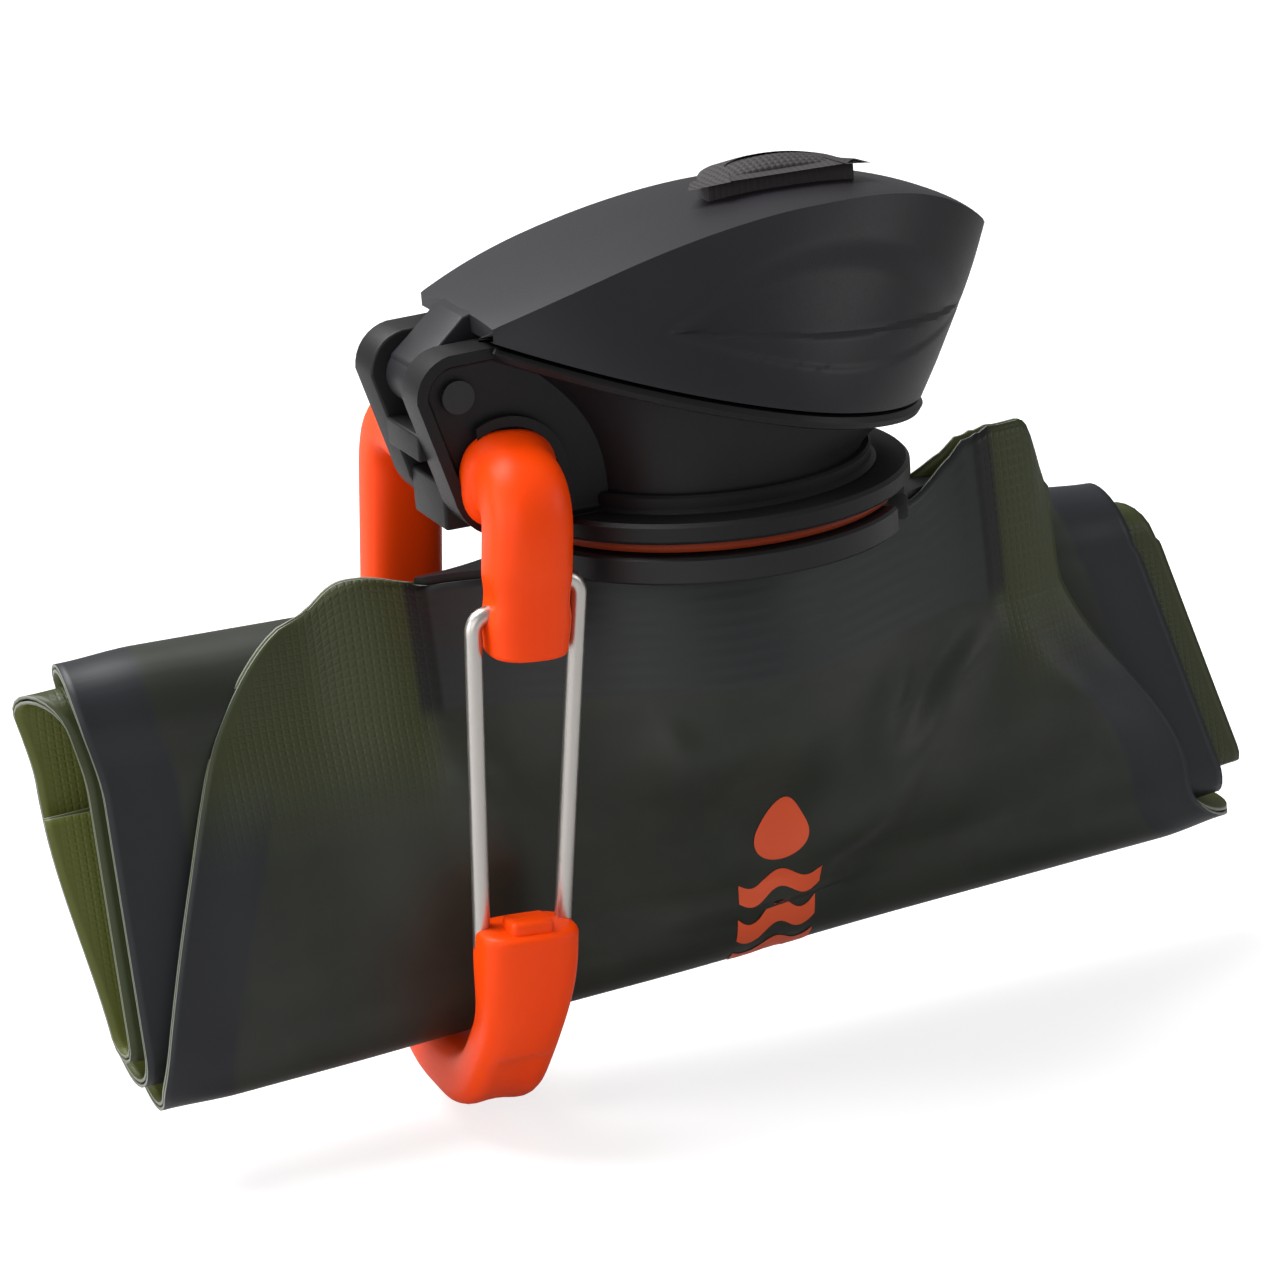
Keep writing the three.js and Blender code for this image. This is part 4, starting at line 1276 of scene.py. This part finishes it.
    def build(self) -> None:
        """Makes the cap and the pieces in it."""
        bm = bmesh.new()
        under = -self.flange_thickness
        add_turned(bm, [(self.neck_room, under), (self.flange - 0.4, under), (self.flange, under + 0.4),
                        (self.flange, -0.4), (self.flange - 0.4, 0.0),
                        (self.foot + 0.5, 0.05), (self.foot, 0.5), (self.foot, self.foot_height - 0.3),
                        (self.foot - 0.3, self.foot_height), (self.waist - 1.5, self.foot_height),
                        (self.neck_room, self.foot_height)])
        base = set(bm.faces)
        bent_grid(bm, 180, 24, self.bowl_point)
        skin = [face for face in bm.faces if face not in base]
        bmesh.ops.recalc_face_normals(bm, faces=skin)
        out_turned = sum(f.normal.dot(Vector((*f.calc_center_median().xy, 0))) for f in skin) > 0
        if not out_turned:
            bmesh.ops.reverse_faces(bm, faces=skin)
        edges = once(edge for face in skin for edge in face.edges)
        verts = once(vert for face in skin for vert in face.verts)
        bmesh.ops.solidify(bm, geom=skin + edges + verts, thickness=self.wall)
        lip = bmesh.new()
        bent_grid(lip, 200, 16, self.lip_point)
        bmesh.ops.recalc_face_normals(lip, faces=lip.faces)
        join_mesh(bm, lip)
        self.bracket(bm)
        add_block(bm, *self.latch, 0.5)
        make_piece("cap_base_moulding", bm, [self.finishes.base], Body.CAP, Slot.SHELL, ["cap_base"],
                   sharp=30.0)
        deck = bmesh.new()
        low, high = self.deck
        add_turned(deck, [(self.spout_hole, low), (self.waist - 0.6, low), (self.waist - 0.6, high),
                          (self.spout_hole, high)])
        make_piece("cap_deck", deck, [self.finishes.base], Body.CAP, Slot.SHELL)
        seal = bmesh.new()
        top = under - self.clearance
        low = top - 1.0
        add_turned(seal, [(self.waist - 0.6, low), (self.flange - 1.9, low), (self.flange - 1.6, low + 0.5),
                          (self.flange - 1.9, top), (self.waist - 0.6, top)])
        make_piece("neck_seal_ring_soft", seal, [self.finishes.seal], Body.CAP, Slot.SEAL, ["neck_seal_ring"])
        smooth_copy("hinge_pin", self.finishes.pin, Body.CAP, Slot.PIN)
        smooth_copy("mouthpiece", self.finishes.silicone, Body.CAP, Slot.SILICONE)


# ---- Carabiner ----


@dataclass
class Carabiner:
    """The moulded hook that hangs in the cap's eye, and the bent wire that is its gate."""

    finishes: Finishes
    eye: tuple[float, float, float] = (-26.5, 0.0, 5.4)
    lean: float = 5.0
    cheek: float = 10.3
    bar: float = 3.1
    front: float = -14.8
    back: float = 24.8
    drop: float = 71.2
    corner: float = 13.0
    socket: float = 11.5
    block_end: float = 17.8
    block_half: float = 4.7
    hook_top: float = 48.6
    wire: float = 0.95
    gate_half: float = 6.0
    foot_half: float = 4.6
    gate_end: float = 52.4
    stagger: float = 1.6
    stub: float = 2.4
    set_in: float = 1.2

    def place(self, point: Vector) -> Vector:
        """Turns a place in the loop's own frame, with its eye at zero, to the bottle's frame."""
        return Matrix.Rotation(math.radians(self.lean), 3, "Y") @ point + Vector(self.eye)

    @staticmethod
    def route(corners: Sequence[Vector], reach: float, step: float = 0.7) -> list[Vector]:
        """Rounds off a route's corners and divides it into short steps.

        Args:
            corners: The route's corners.
            reach: Length rounded off at each side of a corner.
            step: Length of a step in millimetres.

        Returns:
            Points along the route.
        """
        dense = [corners[0]]
        for i in range(1, len(corners) - 1):
            enter = corners[i] + (corners[i - 1] - corners[i]).normalized() * reach
            leave = corners[i] + (corners[i + 1] - corners[i]).normalized() * reach
            for k in range(25):
                t = k / 24
                dense.append((1 - t) ** 2 * enter + 2 * t * (1 - t) * corners[i] + t * t * leave)
        dense.append(corners[-1])
        points = [dense[0]]
        for target in dense[1:]:
            while (target - points[-1]).length > step:
                points.append(points[-1] + (target - points[-1]).normalized() * step)
        points.append(corners[-1])
        return points

    def sweep(self, bm: bmesh.types.BMesh, points: Sequence[Vector], size: Callable[[float], tuple],
              square: float = 2.0, around: int = 40, side: Sequence[float] = (1.0, 0.0, 0.0),
              shape: Callable[[float, float], float] | None = None) -> None:
        """Adds a closed limb along a route.

        Args:
            bm: Mesh to add to.
            points: The route.
            size: Gives half width and half depth of the section at a length along the route.
            square: Power of the section's superellipse; 2 is round.
            around: Number of points round the section.
            side: Direction of the section's width.
            shape: Gives how far the skin is sunk at a length and an angle round the section.
        """
        lengths = [0.0]
        for a, b in zip(points, points[1:]):
            lengths.append(lengths[-1] + (b - a).length)
        ends = 5
        count = len(points) - 1
        sideways = Vector(side)

        def put(u: float, v: float) -> Vector:
            """Gives a place on the limb's skin, with rounded ends that close to a point."""
            at = round(u * (count + 2 * ends)) - ends
            index = min(count, max(0, at))
            cap = max(0, -at, at - count) / ends
            ahead, behind = points[min(count, index + 1)], points[max(0, index - 1)]
            along = (ahead - behind).normalized()
            across = (sideways - along * sideways.dot(along)).normalized()
            deep = along.cross(across)
            turn = 2 * math.pi * v
            c, s = math.cos(turn), math.sin(turn)
            wide, thick = size(lengths[index])
            px = math.copysign(abs(c) ** (2 / square), c)
            py = math.copysign(abs(s) ** (2 / square), s)
            sunk = shape(lengths[index], turn) if shape else 0.0
            round_off = min(0.8, wide * 0.3)
            shrink = round_off * (1 - math.sqrt(max(0.0, 1 - min(1.0, cap * 1.25) ** 2)))
            out = round_off * min(1.0, cap * 1.25) if cap < 1 else round_off
            factor = 0.0 if cap == 1 else 1.0
            centre = points[index] + along * (out if at > count else -out if at < 0 else 0.0)
            skin = across * px * (wide - shrink - sunk) + deep * py * (thick - shrink - sunk)
            return self.place(centre + skin * factor)

        start = set(bm.faces)
        bent_grid(bm, count + 2 * ends, around, put)
        bmesh.ops.recalc_face_normals(bm, faces=[f for f in bm.faces if f not in start])

    def body(self) -> None:
        """Makes the hook: the eye bar, the front arm with the gate's sockets, the spine and the nose."""
        bm = bmesh.new()
        front_route = self.route([Vector((0, -self.cheek + 0.6, 0)), Vector((0, self.front - 0.6, 0)),
                                  Vector((0, self.front, -self.block_end + 0.8))], 4.6)

        def front_size(length: float) -> tuple[float, float]:
            """Half width and half depth of the arm: flared at the cheek, wider at the gate's sockets."""
            flare = 5.5 - 0.9 * smooth(length / 2.4)
            block = smooth((length - 11.0) / 2.4)
            wide = mix(flare, 4.75, block) - 0.35 * smooth((length - 17.0) / 4.0)
            return wide, mix(flare - 0.2, 3.9, block)

        def dimple(length: float, turn: float) -> float:
            """Depth of the hollow in each side of the socket block."""
            sides = math.exp(-(((turn - math.pi) / 0.5) ** 2))
            sides += math.exp(-(((turn % (2 * math.pi)) / 0.5) ** 2))
            return 0.7 * sides * math.exp(-(((length - 15.4) / 1.6) ** 2))

        self.sweep(bm, front_route, front_size, square=2.6, shape=dimple)
        back_route = self.route([Vector((0, self.cheek - 0.6, 0)), Vector((0, self.back, 0)),
                                 Vector((0, self.back, -self.drop + self.corner)),
                                 Vector((0, self.back - self.corner, -self.drop)),
                                 Vector((0, self.front + self.corner * 0.72, -self.drop)),
                                 Vector((0, self.front + 0.3, -self.drop + self.corner)),
                                 Vector((0, self.front, -self.hook_top - 0.6))], self.corner * 0.5)
        total = sum((b - a).length for a, b in zip(back_route, back_route[1:]))

        def back_size(length: float) -> tuple[float, float]:
            """Half width and half depth of the spine and the hook, up to the nose."""
            flare = 5.3 - 0.9 * smooth(length / 2.4)
            spine = smooth((length - 8.0) / 6.0)
            left = total - length
            nose = smooth((14.0 - left) / 12.0)
            wide = mix(mix(flare, 4.6, spine), 5.6, nose)
            return wide, mix(mix(flare, 3.6, spine), 3.9, nose)

        def dish(length: float, turn: float) -> float:
            """Depth of the hollow along the outside of the hook."""
            left = total - length
            outside = math.exp(-(((turn % (2 * math.pi) - 1.5 * math.pi) / 0.55) ** 2))
            return 0.9 * outside * smooth((left - 13.0) / 2.0) * smooth((29.0 - left) / 3.0)

        self.sweep(bm, back_route, back_size, square=3.0, shape=dish)
        tooth = bmesh.new()
        add_block(tooth, (-2.6, self.front - 2.9, -self.hook_top - 1.0),
                  (2.2, self.front + 0.8, -self.hook_top + 1.5), 0.6)
        bmesh.ops.transform(tooth, matrix=Matrix.Translation(self.eye)
                            @ Matrix.Rotation(math.radians(self.lean), 4, "Y"), verts=tooth.verts)
        join_mesh(bm, tooth)
        add_rod(bm, self.bar, -self.cheek - 1, self.cheek + 1, self.eye[0], self.eye[2])
        make_piece("carabiner_moulding", bm, [self.finishes.orange], Body.CARABINER, Slot.ORANGE,
                   ["carabiner_body"], sharp=38.0)

    def gate(self) -> None:
        """Makes the gate from one length of bent wire."""
        half = self.block_half - self.stub
        foot = self.front + self.set_in

        def leg(side: float) -> list[Vector]:
            """Corners of one leg, from its end in the socket block to the hook."""
            height = -self.socket + side * self.stagger
            return [Vector((side * half, self.front, height)),
                    Vector((side * self.gate_half, self.front, height)),
                    Vector((side * self.foot_half, foot, -self.gate_end))]

        bm = bmesh.new()
        points = self.route([*leg(-1), *reversed(leg(1))], 2.1, step=0.4)
        self.sweep(bm, points, lambda _: (self.wire, self.wire), around=20, side=(0, 1, 0.02))
        make_piece("gate_wire_drawn", bm, [self.finishes.wire], Body.GATE, Slot.WIRE, ["gate_wire"])

    def build(self) -> None:
        """Makes the carabiner."""
        self.body()
        self.gate()


# ---- Studio ----


@dataclass
class Studio:
    """Floor, lights and camera."""

    azimuth: float = -23.0
    elevation: float = 15.6
    roll: float = 4.0
    distance: float = 0.4
    lens_widths: float = 2.8125  # focal length in widths of the sensor
    aim_left: float = 0.0175
    aim_down: float = 0.048611
    floor_z: float = -0.0712
    floor_half: float = 3.0
    soft_light: float = 0.3

    def floor(self) -> None:
        """Makes the floor."""
        bm = bmesh.new()
        bmesh.ops.create_grid(bm, x_segments=1, y_segments=1, size=self.floor_half,
                              matrix=Matrix.Translation((0, 0, self.floor_z)))
        mesh = bpy.data.meshes.new("studio_floor")
        bm.to_mesh(mesh)
        bm.free()
        mesh.materials.append(StudioPaper().material())
        floor = bpy.data.objects.new("studio_floor", mesh)
        bpy.context.scene.collection.objects.link(floor)

    def world(self) -> None:
        """Makes the world: even light on the object, white to the lens and in reflections."""
        world = bpy.data.worlds.new("studio_world")
        bpy.context.scene.world = world
        world.use_nodes = True
        tree = world.node_tree
        tree.nodes.clear()
        seen = seen_by_lens(tree)
        soft = add_node(tree, "Background", {"Color": linear("#ffffff"), "Strength": self.soft_light})
        white = add_node(tree, "Background", {"Color": linear("#ffffff"), "Strength": 1.0})
        shader = add_node(tree, "MixShader", {0: seen, 1: soft.outputs[0], 2: white.outputs[0]})
        add_node(tree, "OutputWorld", {"Surface": shader.outputs[0]})

    def lamp(self, name: str, place: Sequence[float], size: float, power: float) -> None:
        """Adds a square area lamp that points at the object.

        Args:
            name: Name of the lamp.
            place: Its place in metres.
            size: Its side in metres.
            power: Its power in watts.
        """
        data = bpy.data.lights.new(name, "AREA")
        data.size = size
        data.energy = power
        lamp = bpy.data.objects.new(name, data)
        lamp.location = place
        lamp.rotation_euler = (-Vector(place)).to_track_quat("-Z", "Y").to_euler()
        bpy.context.scene.collection.objects.link(lamp)

    def camera(self) -> None:
        """Makes the camera."""
        az, el = math.radians(self.azimuth), math.radians(self.elevation)
        back = Vector((math.sin(az) * math.cos(el), -math.cos(az) * math.cos(el), math.sin(el)))
        right = Vector((0, 0, 1)).cross(back).normalized()
        up = back.cross(right)
        turn = Matrix.Rotation(math.radians(-self.roll), 3, back)
        right, up = turn @ right, turn @ up
        towards = (back + right * self.aim_left + up * self.aim_down).normalized()
        above = (up - towards * up.dot(towards)).normalized()
        data = bpy.data.cameras.new("camera")
        data.lens = self.lens_widths * data.sensor_width
        camera = bpy.data.objects.new("camera", data)
        pose = Matrix((above.cross(towards), above, towards)).transposed().to_4x4()
        pose.translation = back * self.distance
        camera.matrix_world = pose
        bpy.context.scene.collection.objects.link(camera)
        bpy.context.scene.camera = camera

    def build(self) -> None:
        """Sets up the studio."""
        bpy.context.scene.view_settings.view_transform = "Standard"
        self.floor()
        self.world()
        self.lamp("overhead", (-0.35, 0.35, 0.85), 0.8, 18.5)
        self.lamp("fill", (-0.8, -0.8, 0.3), 0.8, 3.0)
        self.lamp("side", (0.9, -0.6, 0.35), 0.4, 1.6)
        self.lamp("left", (-0.95, 0.05, 0.15), 0.6, 3.4)
        self.camera()


def main() -> None:
    """Builds the bottle and its studio."""
    logging.basicConfig(level=logging.INFO, format="%(name)s: %(message)s")
    finishes = Finishes()
    outline = CapOutline()
    pouch = RolledPouch(finishes)
    for part in (pouch, PrintedMark(finishes, pouch), SpoutFitment(finishes, pouch),
                 ScrewCap(finishes, outline), FlipLid(finishes, outline), Carabiner(finishes), Studio()):
        part.build()
        log.info("built %s", type(part).__name__)


if __name__ == "__main__":
    main()
